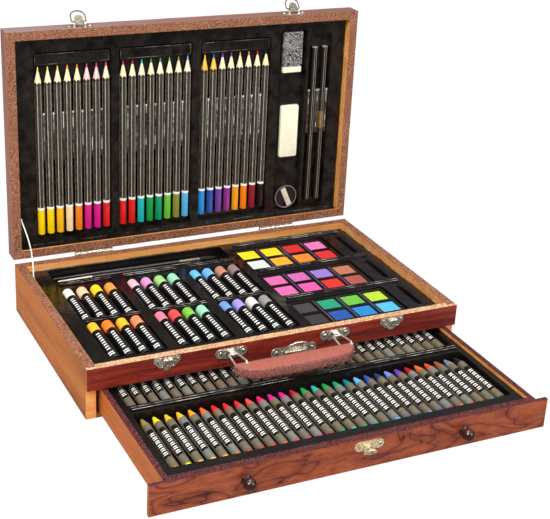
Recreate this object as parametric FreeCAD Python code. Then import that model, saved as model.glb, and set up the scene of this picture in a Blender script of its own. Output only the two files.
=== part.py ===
import FreeCAD, Part
import math
import os

from FreeCAD import Vector

# Artist's case: a wooden box with a hinged lid, a drawer, moulded trays and the drawing supplies in them.
# Millimetres. Origin at the centre of the case's underside, +X right, +Y to the back, +Z up.
# The lid stands open and the drawer is pulled out to its stop. The lid is drawn shut and then swung open.

# ---------------------------------------------------------------- case
CASE_WIDTH = 384.0
CASE_DEPTH = 236.0
BASE_HEIGHT = 52.6
SIDE_THICKNESS = 9.5
BACK_THICKNESS = 9.5
BOTTOM_THICKNESS = 3.0
FRONT_LAP = 4.0  # the part of the front rail that laps over the ends of the sides
RAIL_BACKING = 4.2  # the rest of the rail, between the sides
RAIL_UNDERSIDE = 30.6  # top of the drawer opening
SHELF_UNDERSIDE = 32.6  # the shelf lies on the stop batten's height, between drawer and upper tray
SHELF_THICKNESS = 2.4

# ---------------------------------------------------------------- lid
LID_HEIGHT = 18.8
LID_WALL = 8.8
LID_PANEL = 3.0
LID_SEAM = 0.3  # gap between the rims when shut
LID_OPEN_ANGLE = 90.7
HINGE_STANDOFF = 3.0  # hinge axis behind the back faces

# ---------------------------------------------------------------- drawer
DRAWER_TRAVEL = 155.0
DRAWER_FRONT = 3.8
DRAWER_FRONT_FOOT = 0.8  # lower edge of the front above the table
DRAWER_FRONT_GAP = 0.5  # between the front's top edge and the rail
DRAWER_WALL = 5.5
DRAWER_SIDE_TOP = 29.4
DRAWER_FLOOR = 2.5
DRAWER_LIFT = 0.3  # running gap over the bottom panel
DRAWER_BACK_GAP = 1.0  # between drawer and back panel when shut
DRAWER_SIDE_GAP = 0.5  # running gap at each side
DRAWER_GUIDE = 3.6  # batten that takes up the play at the left
GUIDE_HEIGHT = 13.0
STOP_WIDTH = 8.0
STOP_GAP = 0.3  # left between back wall and stop batten when out
BACK_WALL_GAP = 0.4  # drawer's back wall under the shelf

# ---------------------------------------------------------------- moulded trays
SHEET = 1.0
TRAY_PLAY = 0.4  # between a tray's rim and the walls round it
POCKET_RADIUS = 3.0
CORNER_STEPS = 2  # flats round a pocket's corner
POCKET_DRAFT = 1.2  # how much a pocket narrows on each side towards its floor
BASE_TRAY_DROP = 6.3  # upper tray's surface under the rim
LID_TRAY_DROP = 9.0
DRAWER_TRAY_DROP = 3.0
RIDGE_WIDTH = 3.0
RIDGE_HEIGHT = 1.6
REST_GAP = 0.3  # between a stick and what it lies in

# ---------------------------------------------------------------- supplies
PENCIL_FLATS = 6.8
PENCIL_END_ROOM = 40.9  # of the lid's inner depth that a pencil leaves free
PENCIL_CONE = 17.5
PENCIL_LEAD = 0.5  # radius at the very point
PENCIL_PITCH = 10.05
PENCILS_IN_GROUP = 8
PENCIL_GROUPS = 3
PENCIL_AXIS_DROP = 11.2  # below the lid's rim
CRAYON_RADIUS = 3.9
CRAYON_LENGTH = 82.5
CRAYON_TIP = 10.5
CRAYON_SIDES = 8
CRAYON_POINT = 1.2  # radius of the blunted tip
CRAYON_PITCH = 11.05
CRAYON_AXIS_DROP = 7.9  # below the drawer side's top
PASTEL_RADIUS = 5.7
PASTEL_LENGTH = 71.5
PASTEL_PITCH = 14.5
PASTELS_IN_GROUP = 4
PASTEL_SIDES = 10  # flats that stand for the round paper sleeve
PALETTE_WIDTH = 108.0
PALETTE_DEPTH = 53.4
PALETTE_HEIGHT = 8.6
PALETTE_CORNER = 2.0
PALETTE_DRAFT = 0.6
PALETTE_PITCH = 67.5
PAN_WIDTH = 21.2
PAN_DEPTH = 21.0
PAN_THICKNESS = 3.0
PAN_DROP = 1.0  # of a pan's top below its palette's
PAN_PITCH_X = 26.8
PAN_PITCH_Y = 25.4
PAN_PLAY = 0.2
BRUSH_RADIUS = 2.0
BRUSH_SIDES = 8
BRUSH_MARGIN = 1.5  # of the foremost brush from the trough's front
BRUSHES = (  # start from the trough's left front corner, then run along it as a share of its length, and slant
    (5.0, 19.0, 0.97, -0.5),
    (8.0, 13.0, 0.89, -3.5),
    (11.0, 6.0, 0.6, -3.5),
)
ERASER_Y = -16.0  # its end towards the front edge
ERASER = (21.4, 59.0, 5.2)
WRAPPED_BAR = (22.5, 44.5, 5.2)
BAR_GAP = 0.6  # of the wrapped bar from its pocket's foot
BLOCK_CHAMFER = 0.7
SHARPENER_RADIUS = 13.4
SHARPENER_HEIGHT = 5.2
SHARPENER_SIDES = 24
SHARPENER_MOUTH = (3.6, 0.8, 1.2)  # radius at the mouth, at its far end, and the axis below the face
SHARPENER_SLOT = 1.6  # depth of the slot under the blade
SHARPENER_SCREW = 1.7
SHARPENER_GAP = 0.4  # from its pocket's foot
BLADE_GAP = 0.1  # under the blade
SHARPENER_BLADE = (5.8, 22.0, 0.8)
SHARPENER_TURN = -24.0  # degrees of the blade from the lid's depth
STICK_RADIUS = 3.1
STICK_PITCH = 12.0
STICK_SHORTER = 0.5  # than a pencil

# ---------------------------------------------------------------- metalwork
PLATE = 0.8
RUNNING = 0.05  # radial clearance of a pin in its hole
WIRE_SIDES = 10  # flats round a bent wire
HINGE_X = 106.3
HINGE_WIDTH = 41.0
HINGE_LEAF = 13.0
HINGE_LEAF_START = 1.4  # from the axis
HINGE_LEAF_THICKNESS = 1.0
HINGE_BARREL = 2.4
HINGE_PIN = 1.1
HINGE_KNUCKLE = 12.0
KNUCKLE_GAP = 0.3
LATCH_X = 117.0
LATCH_AXIS_RISE = 5.4  # above the lid's rim
LATCH_AXIS_OUT = 2.7
LATCH_BARREL = 1.5
LATCH_PIN = 0.7
LEVER_HALF = 4.3
LEVER_REACH = 9.5
LEVER_EYE_UP = 3.0
LEVER_EYE_RADIUS = 1.25
LEVER_REST = 50.0  # degrees out from the locked position
BAIL_WIRE = 0.6
BAIL_HALF = 7.4
BAIL_LENGTH = 11.6
KEEPER_WIDTH = 28.0
KEEPER_HEIGHT = 15.5
KEEPER_LIP = 1.1
KEEPER_LIP_OUT = 2.6
KEEPER_LIP_DROP = 2.6  # below the plate's top
LATCH_PLATE_HALF = 14.5
LATCH_PLATE_EAR = 4.6
LATCH_CROWN_HALF = 7.5
LATCH_CROWN_RISE = (0.6, 13.5)  # lower and upper edge above the rim
LATCH_PLATE_RISE = 6.0  # middle of the lid's latch plate above the rim
BRACKET_X = 54.0
BRACKET_HALF = 15.8
BRACKET_EAR = 5.0
BRACKET_STRAP = 6.8
BRACKET_LOOP = 2.1
BRACKET_LOOP_HALF = 2.8
HANDLE_AXIS_Z = 45.0
HANDLE_AXIS_OUT = 4.6
HANDLE_WIRE = 1.0
HANDLE_LEG = 4.4  # of a wire from its bracket's middle
GRIP_HALF = 61.0
GRIP_IN = 22.0  # from the case's face to the grip's back edge
GRIP_OUT = 43.0
GRIP_BOW = 2.2
GRIP_CORNER = 16.0
GRIP_ARC_STEPS = 5
GRIP_TOP = 46.0
GRIP_THICKNESS = 10.5
GRIP_ROUND = 1.6
WIRE_IN_GRIP = 5.0
WIRE_OVER_GRIP = 2.0  # of the upper leg above the grip
WIRE_FROM_EDGE = 3.6  # of the upper leg's hole from the grip's back edge
HASP_X = 11.0
HASP_Z = 35.4
HASP_HALF = 23.0
HASP_EAR = 4.5
HASP_RING_HALF = 12.5
HASP_WIRE = 1.1
HASP_AXIS_OUT = 2.8
HASP_REACH = 15.0
HASP_LOOP = 2.0
HASP_LOOP_HALF = 6.0
HASP_REST = 60.0  # degrees that the ring stands above level
CATCH_X = 6.7
CATCH_Z = 23.4
CATCH_HALF = 14.2
CATCH_EAR = 4.4
CATCH_TONGUE = 9.0
CATCH_STUD = 1.5
CATCH_STUD_Z = 19.4
CATCH_REACH = 6.6
CATCH_WING = 4.4
CATCH_WING_THICKNESS = 1.8
KNOB_Z = 15.6
KNOB_PLACES = (-107.5, 103.5)
KNOB_RADIUS = 5.8
KNOB_REACH = 7.2  # of the ball's centre from the drawer's face
KNOB_FLANGE = 5.0
KNOB_FLANGE_THICKNESS = 1.0
KNOB_SIDES = 16
KNOB_NECK = 0.45  # of the ball's radius
PLATE_END_STEPS = 6  # flats round each end of a metal plate
CORD_RADIUS = 0.65
CORD_BEND_STEPS = 4
KNOT_RADIUS = 1.5
CORD_LID_Y = 76.2  # the lid's knot with the lid shut
CORD_LID_RISE = 4.0
CORD_BASE_Y = 85.0
CORD_BASE_DROP = 3.8
CORD_SAG = ((0.22, 2.6, 0.9), (0.5, 4.0, 1.6), (0.77, 2.8, 1.1))  # share of the way, inward shift, sag

# ---------------------------------------------------------------- places that follow from the sizes
SIDE_FACE = CASE_WIDTH / 2
INNER_X = SIDE_FACE - SIDE_THICKNESS
FRONT_Y = -CASE_DEPTH / 2
BACK_Y = CASE_DEPTH / 2
SIDE_FRONT_Y = FRONT_Y + FRONT_LAP
RAIL_BACK_Y = SIDE_FRONT_Y + RAIL_BACKING
INNER_BACK_Y = BACK_Y - BACK_THICKNESS
SHELF_TOP = SHELF_UNDERSIDE + SHELF_THICKNESS
BASE_TRAY_TOP = BASE_HEIGHT - BASE_TRAY_DROP
HINGE_Y = BACK_Y + HINGE_STANDOFF
LID_RIM = BASE_HEIGHT + LID_SEAM
LID_TOP = LID_RIM + LID_HEIGHT
LID_CEILING = LID_TOP - LID_PANEL
LID_INNER_X = SIDE_FACE - LID_WALL
LID_INNER_Y = BACK_Y - LID_WALL
PENCIL_LENGTH = 2 * LID_INNER_Y - PENCIL_END_ROOM
STICK_LENGTH = PENCIL_LENGTH - STICK_SHORTER
DRAWER_FACE_Y = FRONT_Y - DRAWER_TRAVEL
DRAWER_BOX_Y0 = DRAWER_FACE_Y + DRAWER_FRONT
DRAWER_BOX_Y1 = INNER_BACK_Y - DRAWER_BACK_GAP - DRAWER_TRAVEL
DRAWER_X0 = -INNER_X + DRAWER_GUIDE + DRAWER_SIDE_GAP
DRAWER_X1 = INNER_X - DRAWER_SIDE_GAP
DRAWER_INNER_X0 = DRAWER_X0 + DRAWER_WALL
DRAWER_INNER_X1 = DRAWER_X1 - DRAWER_WALL
DRAWER_INNER_Y0 = DRAWER_BOX_Y0 + DRAWER_WALL
DRAWER_INNER_Y1 = DRAWER_BOX_Y1 - DRAWER_WALL
DRAWER_BASE = BOTTOM_THICKNESS + DRAWER_LIFT
DRAWER_FLOOR_TOP = DRAWER_BASE + DRAWER_FLOOR
DRAWER_TRAY_TOP = DRAWER_SIDE_TOP - DRAWER_TRAY_DROP


# ---------------------------------------------------------------- small tools
def block(x0, x1, y0, y1, z0, z1):
    return Part.makeBox(x1 - x0, y1 - y0, z1 - z0, Vector(x0, y0, z0))


def fused(shapes):
    first, *rest = shapes
    return first.fuse(rest).removeSplitter() if rest else first


def rod_x(radius, x0, x1, y, z):
    return Part.makeCylinder(radius, x1 - x0, Vector(x0, y, z), Vector(1, 0, 0))


def rod_y(radius, y0, y1, x, z):
    return Part.makeCylinder(radius, y1 - y0, Vector(x, y0, z), Vector(0, 1, 0))


def mirrored_x(shape):
    return shape.mirror(Vector(0, 0, 0), Vector(1, 0, 0))


def faceted(rings):
    """Solid with flat faces through rings of corners, each ring with the same number of corners."""
    faces = [Part.Face(Part.makePolygon(ring + ring[:1])) for ring in (rings[0], rings[-1])]
    count = len(rings[0])
    for low, high in zip(rings, rings[1:]):
        for i in range(count):
            k = (i + 1) % count
            faces.append(Part.Face(Part.makePolygon([low[i], low[k], high[k], high[i], low[i]])))
    solid = Part.Solid(Part.Shell(faces))
    if solid.Volume < 0:
        solid.reverse()
    return solid


def stick(x, z, sections, sides):
    """Straight stick along Y at (x, z); sections lists (y, radius) from one end to the other."""
    rings = []
    for y, radius in sections:
        turns = [2 * math.pi * k / sides for k in range(sides)]
        rings.append([Vector(x + radius * math.cos(a), y, z + radius * math.sin(a)) for a in turns])
    return faceted(rings)


def rounded_outline(x0, x1, y0, y1, radius, z):
    """Corners of a rectangle whose own corners are rounded off in short steps, level at height z."""
    r = min(radius, (x1 - x0) / 2.2, (y1 - y0) / 2.2)
    points = []
    corners = [(x1 - r, y1 - r), (x0 + r, y1 - r), (x0 + r, y0 + r), (x1 - r, y0 + r)]
    for quarter, (x, y) in enumerate(corners):
        for step in range(CORNER_STEPS + 1):
            turn = math.radians(90 * (quarter + step / CORNER_STEPS))
            points.append(Vector(x + r * math.cos(turn), y + r * math.sin(turn), z))
    return points


def tapered_block(x0, x1, y0, y1, z_low, z_high, radius, draft):
    """Round-cornered block that narrows by draft on every side from z_high down to z_low."""
    top = rounded_outline(x0, x1, y0, y1, radius, z_high)
    foot = rounded_outline(x0 + draft, x1 - draft, y0 + draft, y1 - draft, radius, z_low)
    return faceted([foot, top])


def stadium(half_length, radius, thickness, x, z, y_back):
    """Upright plate with round ends: half_length along X, radius along Z, its back at y_back."""
    reach = half_length - radius
    rings = []
    for y in (y_back, y_back - thickness):
        ring = []
        for step in range(2 * (PLATE_END_STEPS + 1)):
            side = 1 if step <= PLATE_END_STEPS else -1
            turn = math.pi * ((step % (PLATE_END_STEPS + 1)) / PLATE_END_STEPS - 0.5)
            across = side * (reach + radius * math.cos(turn))
            ring.append(Vector(x + across, y, z + side * radius * math.sin(turn)))
        rings.append(ring)
    return faceted(rings)


def rod(radius, start, end):
    return Part.makeCylinder(radius, (end - start).Length, start, end - start)


def bent_wire(points, radius):
    """Wire of flat-sided section through the points, with a mitred corner at each inner one."""
    runs = [(b - a).normalize() for a, b in zip(points, points[1:])]
    normal = runs[0].cross(runs[1]).normalize()
    side = normal.cross(runs[0])
    turns = [2 * math.pi * k / WIRE_SIDES for k in range(WIRE_SIDES)]
    rings = [[points[0] + (side * math.cos(a) + normal * math.sin(a)) * radius for a in turns]]
    for run, onward, point in zip(runs, runs[1:] + runs[-1:], points[1:]):
        mitre = (run + onward).normalize()
        rings.append([p + run * ((point - p).dot(mitre) / run.dot(mitre)) for p in rings[-1]])
    return faceted(rings)


def rounded_route(points, radii, steps):
    """Points of straight runs joined by tangent arcs of the given radii, each arc in short steps."""
    route = [points[0]]
    for before, corner, after, bend in zip(points, points[1:], points[2:], radii):
        inward = (corner - before).normalize()
        onward = (after - corner).normalize()
        turn = inward.getAngle(onward)
        start = corner - inward * (bend * math.tan(turn / 2))
        outward = inward.cross(onward).cross(inward).normalize()
        for step in range(steps + 1):
            angle = turn * step / steps
            route.append(start + inward * (bend * math.sin(angle)) + outward * (bend * (1 - math.cos(angle))))
    return route + [points[-1]]


def opened(shape):
    """Swings a shape of the shut lid up to where the lid stands open."""
    turned = shape.copy()
    turned.rotate(Vector(0, HINGE_Y, BASE_HEIGHT), Vector(1, 0, 0), -LID_OPEN_ANGLE)
    return turned


def spread(total, sizes, shares):
    """Start of each size along a length: what is left over is shared out as gaps around the sizes."""
    spare = total - sum(sizes)
    starts = []
    at = 0.0
    for size, share in zip(sizes, shares):
        at += spare * share
        starts.append(at)
        at += size
    return starts


def comb(x0, x1, y0, y1, z0, z1, centres, axis_z, inradius):
    """Cradle bar with a six-sided notch for each stick whose axis is at (centre, axis_z)."""
    bar = block(x0, x1, y0, y1, z0, z1)
    across = inradius / math.cos(math.radians(30))
    cutters = []
    for x in centres:
        corners = []
        for k in range(7):
            turn = math.radians(60 * k)
            corners.append(Vector(x + across * math.cos(turn), y0 - 1, axis_z + across * math.sin(turn)))
        cutters.append(Part.Face(Part.makePolygon(corners)).extrude(Vector(0, y1 - y0 + 2, 0)))
    return bar.cut(cutters)


def moulded_tray(x0, x1, y0, y1, top, pockets, additions):
    """Thin sheet tray. pockets are (x0, x1, y0, y1, floor); additions stand on it or in its pockets."""
    body = [block(x0, x1, y0, y1, top - SHEET, top)]
    hollows = []
    for px0, px1, py0, py1, floor in pockets:
        around = (px0 - SHEET, px1 + SHEET, py0 - SHEET, py1 + SHEET)
        body.append(tapered_block(*around, floor - SHEET, top, POCKET_RADIUS + SHEET, POCKET_DRAFT))
        hollows.append(tapered_block(px0, px1, py0, py1, floor, top, POCKET_RADIUS, POCKET_DRAFT))
    tray = fused(body).cut(hollows)
    return fused([tray] + additions) if additions else tray


def ridge(x0, x1, y, z):
    """Raised bead along X on a tray's surface, with a round boss at its right end."""
    bead = block(x0, x1, y - RIDGE_WIDTH / 2, y + RIDGE_WIDTH / 2, z, z + RIDGE_HEIGHT)
    r = RIDGE_WIDTH * 0.9
    boss = faceted([rounded_outline(x1 - r, x1 + r, y - r, y + r, r, h) for h in (z, z + RIDGE_HEIGHT)])
    return fused([bead, boss])


# ---------------------------------------------------------------- case and drawer carcass
def case_parts():
    side = block(INNER_X, SIDE_FACE, SIDE_FRONT_Y, BACK_Y, 0, BASE_HEIGHT)
    rail = fused([
        block(-SIDE_FACE, SIDE_FACE, FRONT_Y, SIDE_FRONT_Y, RAIL_UNDERSIDE, BASE_HEIGHT),
        block(-INNER_X, INNER_X, SIDE_FRONT_Y, RAIL_BACK_Y, RAIL_UNDERSIDE, BASE_HEIGHT),
    ])
    stop_front = DRAWER_INNER_Y1 - STOP_GAP - STOP_WIDTH
    return {
        "left_side_panel": mirrored_x(side),
        "right_side_panel": side,
        "back_panel": block(-INNER_X, INNER_X, INNER_BACK_Y, BACK_Y, 0, BASE_HEIGHT),
        "front_rail": rail,
        "bottom_panel": block(-INNER_X, INNER_X, SIDE_FRONT_Y, INNER_BACK_Y, 0, BOTTOM_THICKNESS),
        "drawer_shelf": block(-INNER_X, INNER_X, RAIL_BACK_Y, INNER_BACK_Y, SHELF_UNDERSIDE, SHELF_TOP),
        "drawer_stop_batten": block(DRAWER_INNER_X0, DRAWER_INNER_X1, stop_front, stop_front + STOP_WIDTH,
                                    RAIL_UNDERSIDE, SHELF_UNDERSIDE),
        "drawer_guide_batten": block(-INNER_X, -INNER_X + DRAWER_GUIDE, RAIL_BACK_Y + STOP_WIDTH, INNER_BACK_Y,
                                     BOTTOM_THICKNESS, BOTTOM_THICKNESS + GUIDE_HEIGHT),
    }


def drawer_parts():
    front_top = RAIL_UNDERSIDE - DRAWER_FRONT_GAP
    inner = (DRAWER_INNER_X0, DRAWER_INNER_X1)
    return {
        "drawer_front": block(-SIDE_FACE, SIDE_FACE, DRAWER_FACE_Y, DRAWER_BOX_Y0,
                              DRAWER_FRONT_FOOT, front_top),
        "drawer_box_front": block(*inner, DRAWER_BOX_Y0, DRAWER_INNER_Y0, DRAWER_BASE, DRAWER_SIDE_TOP),
        "drawer_box_left": block(DRAWER_X0, DRAWER_INNER_X0, DRAWER_BOX_Y0, DRAWER_BOX_Y1,
                                 DRAWER_BASE, DRAWER_SIDE_TOP),
        "drawer_box_right": block(DRAWER_INNER_X1, DRAWER_X1, DRAWER_BOX_Y0, DRAWER_BOX_Y1,
                                  DRAWER_BASE, DRAWER_SIDE_TOP),
        "drawer_box_back": block(*inner, DRAWER_INNER_Y1, DRAWER_BOX_Y1, DRAWER_BASE,
                                 SHELF_UNDERSIDE - BACK_WALL_GAP),
        "drawer_bottom": block(*inner, DRAWER_INNER_Y0, DRAWER_INNER_Y1, DRAWER_BASE, DRAWER_FLOOR_TOP),
    }


# ---------------------------------------------------------------- lid carcass (drawn shut)
def lid_rail(outline):
    """One mitred rail: its plan outline raised from the rim to the panel."""
    corners = [Vector(x, y, LID_RIM) for x, y in outline + outline[:1]]
    return Part.Face(Part.makePolygon(corners)).extrude(Vector(0, 0, LID_CEILING - LID_RIM))


def lid_parts():
    ox, oy, ix, iy = SIDE_FACE, BACK_Y, LID_INNER_X, LID_INNER_Y
    rails = {
        "lid_front_rail": [(-ox, -oy), (ox, -oy), (ix, -iy), (-ix, -iy)],
        "lid_right_rail": [(ox, -oy), (ox, oy), (ix, iy), (ix, -iy)],
        "lid_back_rail": [(ox, oy), (-ox, oy), (-ix, iy), (ix, iy)],
        "lid_left_rail": [(-ox, oy), (-ox, -oy), (-ix, -iy), (-ix, iy)],
    }
    parts = {name: opened(lid_rail(outline)) for name, outline in rails.items()}
    parts["lid_panel"] = opened(block(-ox, ox, -oy, oy, LID_CEILING, LID_TOP))
    return parts


# ---------------------------------------------------------------- upper tray and its supplies
BASE_TRAY_X0 = -INNER_X + TRAY_PLAY
BASE_TRAY_X1 = INNER_X - TRAY_PLAY
BASE_TRAY_Y0 = RAIL_BACK_Y + TRAY_PLAY
BASE_TRAY_Y1 = INNER_BACK_Y - TRAY_PLAY
POCKET_FLOOR = SHELF_TOP + SHEET
PASTEL_POCKET = (PASTELS_IN_GROUP - 1) * PASTEL_PITCH + 2 * PASTEL_RADIUS + 2 * POCKET_DRAFT
PASTEL_AXIS_Z = POCKET_FLOOR + REST_GAP + PASTEL_RADIUS
PASTEL_ROOM = PASTEL_LENGTH + 2 * POCKET_DRAFT + 0.6
PALETTE_ROOM = PALETTE_WIDTH + 2 * POCKET_DRAFT + 1.0
TROUGH_DEPTH = 29.0
PASTEL_CRADLE = (20.0, 28.0)  # start of the cradle from a pastel's lower end, and its length


def base_columns():
    """Left edges of the three pastel pockets and of the palette pockets."""
    sizes = [PASTEL_POCKET] * 3 + [PALETTE_ROOM]
    shares = (0.236, 0.132, 0.132, 0.093, 0.407)
    return [BASE_TRAY_X0 + s for s in spread(BASE_TRAY_X1 - BASE_TRAY_X0, sizes, shares)]


def base_rows():
    """Front edges of the front pastel row, the back pastel row and the brush trough."""
    sizes = [PASTEL_ROOM, PASTEL_ROOM, TROUGH_DEPTH]
    shares = (0.377, 0.089, 0.443, 0.091)
    return [BASE_TRAY_Y0 + s for s in spread(BASE_TRAY_Y1 - BASE_TRAY_Y0, sizes, shares)]


def pastel_centres(pocket_x):
    first = pocket_x + POCKET_DRAFT + PASTEL_RADIUS
    return [first + k * PASTEL_PITCH for k in range(PASTELS_IN_GROUP)]


def palette_places():
    """Lower left corner of each palette, front to back."""
    x = base_columns()[3] + (PALETTE_ROOM - PALETTE_WIDTH) / 2
    middle = (BASE_TRAY_Y0 + BASE_TRAY_Y1) / 2 - 2.0
    return [(x, middle + k * PALETTE_PITCH - PALETTE_DEPTH / 2) for k in (-1, 0, 1)]


def base_tray():
    columns, rows = base_columns(), base_rows()
    top = BASE_TRAY_TOP
    pockets, additions = [], []
    for x in columns[:3]:
        for y in rows[:2]:
            pockets.append((x, x + PASTEL_POCKET, y, y + PASTEL_ROOM, POCKET_FLOOR))
            start = y + POCKET_DRAFT + PASTEL_CRADLE[0]
            additions.append(comb(x + POCKET_DRAFT, x + PASTEL_POCKET - POCKET_DRAFT, start,
                                  start + PASTEL_CRADLE[1], POCKET_FLOOR, PASTEL_AXIS_Z - 0.5,
                                  pastel_centres(x), PASTEL_AXIS_Z, PASTEL_RADIUS + REST_GAP))
        for low, high in zip(rows, rows[1:]):
            additions.append(ridge(x + 2, x + PASTEL_POCKET - 2, (low + PASTEL_ROOM + high) / 2, top))
    trough_end = columns[2] + PASTEL_POCKET
    pockets.append((columns[0], trough_end, rows[2], rows[2] + TROUGH_DEPTH, POCKET_FLOOR))
    slot_x = (columns[3] + PALETTE_ROOM + BASE_TRAY_X1) / 2
    margin = (PALETTE_ROOM - PALETTE_WIDTH) / 2
    for x, y in palette_places():
        back = y + PALETTE_DEPTH + margin
        following = min(back + PALETTE_PITCH - PALETTE_DEPTH - 2 * margin, BASE_TRAY_Y1)
        pockets.append((x - margin, x + PALETTE_WIDTH + margin, y - margin, back, POCKET_FLOOR))
        additions.append(ridge(x + 4, BASE_TRAY_X1 - 13, (back + following) / 2, top))
        pockets.append((slot_x - 3, slot_x + 3, y + 4, y + PALETTE_DEPTH - 4, top - 5))
    return moulded_tray(BASE_TRAY_X0, BASE_TRAY_X1, BASE_TRAY_Y0, BASE_TRAY_Y1, top, pockets, additions)


def oil_pastels():
    sticks = []
    for y in base_rows()[:2]:
        for x in base_columns()[:3]:
            start = y + (PASTEL_ROOM - PASTEL_LENGTH) / 2
            sections = [(start, PASTEL_RADIUS), (start + PASTEL_LENGTH, PASTEL_RADIUS)]
            sticks += [stick(c, PASTEL_AXIS_Z, sections, PASTEL_SIDES) for c in pastel_centres(x)]
    return sticks


def pan_places(x, y):
    """Lower left corners of a palette's eight wells."""
    left = x + (PALETTE_WIDTH - 3 * PAN_PITCH_X - PAN_WIDTH) / 2
    front = y + (PALETTE_DEPTH - PAN_PITCH_Y - PAN_DEPTH) / 2
    return [(left + i * PAN_PITCH_X, front + j * PAN_PITCH_Y) for j in range(2) for i in range(4)]


def palette(x, y):
    top = POCKET_FLOOR + PALETTE_HEIGHT
    frame = tapered_block(x, x + PALETTE_WIDTH, y, y + PALETTE_DEPTH, POCKET_FLOOR, top,
                          PALETTE_CORNER, PALETTE_DRAFT)
    wells = []
    for wx, wy in pan_places(x, y):
        wells.append(block(wx, wx + PAN_WIDTH, wy, wy + PAN_DEPTH, top - PAN_THICKNESS - PAN_DROP, top))
    return frame.cut(wells)


def paint_pans():
    top = POCKET_FLOOR + PALETTE_HEIGHT - PAN_DROP
    pans = []
    for place in palette_places():
        for wx, wy in pan_places(*place):
            pans.append(block(wx + PAN_PLAY, wx + PAN_WIDTH - PAN_PLAY,
                              wy + PAN_PLAY, wy + PAN_DEPTH - PAN_PLAY, top - PAN_THICKNESS, top))
    return pans


def paint_brush(start, end, z, radius):
    """Handle with a ferrule and a pointed head, lying level from start to end."""
    length = math.hypot(end[0] - start[0], end[1] - start[1])
    profile = [(0, 0.45), (0.3, 1.0), (0.78, 0.8), (0.8, 1.0), (0.92, 1.05), (1, 0.2)]
    body = stick(0, 0, [(length * share, radius * size) for share, size in profile], BRUSH_SIDES)
    turn = math.degrees(math.atan2(end[1] - start[1], end[0] - start[0])) - 90
    body.Placement = FreeCAD.Placement(Vector(start[0], start[1], z), FreeCAD.Rotation(Vector(0, 0, 1), turn))
    return body


def paint_brushes():
    columns, rows = base_columns(), base_rows()
    left = columns[0]
    trough = columns[2] + PASTEL_POCKET - left
    front = rows[2] + POCKET_DRAFT + BRUSH_RADIUS + BRUSH_MARGIN
    z = POCKET_FLOOR + REST_GAP + BRUSH_RADIUS * 1.05
    brushes = []
    for x, y, share, slant in BRUSHES:
        start = (left + x, front + y)
        brushes.append(paint_brush(start, (left + share * trough, front + y + slant), z, BRUSH_RADIUS))
    return brushes


# ---------------------------------------------------------------- lid tray and its supplies (drawn shut)
LID_TRAY_LOW = LID_RIM + LID_TRAY_DROP
LID_POCKET_DEPTH = LID_CEILING - LID_TRAY_LOW - SHEET
PENCIL_AXIS_Z = LID_RIM + PENCIL_AXIS_DROP
PENCIL_POCKET = (PENCILS_IN_GROUP - 1) * PENCIL_PITCH + PENCIL_FLATS + 2 * POCKET_DRAFT + 1.0
PENCIL_HEADROOM = 14.5  # from a pocket's end to the points
PENCIL_FOOTROOM = 7.0
STEP_MARGINS = (1.6, 1.4, 1.5)  # of the raised step beyond the points: from the side walls, upper wall, points
STEP_DROP = 1.2  # of the step below the tray's surface
COMB_OVER_AXIS = 0.6  # of a cradle's top over the sticks' axes
PENCIL_ROOM = PENCIL_LENGTH + PENCIL_HEADROOM + PENCIL_FOOTROOM
BLOCK_POCKET = 2 * SHARPENER_RADIUS + 2 * POCKET_DRAFT + 3.0
BLOCK_POCKET_EXTRA = 5.0  # by which the middle pocket runs on towards the front edge
STICK_POCKET = STICK_PITCH + 2 * STICK_RADIUS + 2 * POCKET_DRAFT + 6.0
PENCIL_CRADLE = (62.0, 50.0)  # start of the cradle from the pocket's tip end, and its length


def flipped(shape):
    """Turns a tray drawn with its surface up so that it faces down at the same height as the lid tray."""
    turned = shape.copy()
    turned.rotate(Vector(0, 0, LID_TRAY_LOW), Vector(0, 1, 0), 180)
    return turned


def lid_columns():
    """Left edges of the three pencil pockets, the block pocket and the stick pocket."""
    sizes = [PENCIL_POCKET] * PENCIL_GROUPS + [BLOCK_POCKET, STICK_POCKET]
    shares = (0.295, 0.120, 0.137, 0.157, 0.052, 0.239)
    return [-LID_INNER_X + s for s in spread(2 * LID_INNER_X, sizes, shares)]


def lid_pocket_y():
    spare = 2 * LID_INNER_Y - PENCIL_ROOM
    low = -LID_INNER_Y + spare * 0.78
    return low, low + PENCIL_ROOM


def pencil_centres(pocket_x):
    first = pocket_x + (PENCIL_POCKET - (PENCILS_IN_GROUP - 1) * PENCIL_PITCH) / 2
    return [first + k * PENCIL_PITCH for k in range(PENCILS_IN_GROUP)]


def stick_centres():
    middle = lid_columns()[4] + STICK_POCKET / 2
    return [middle - STICK_PITCH / 2, middle + STICK_PITCH / 2]


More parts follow.
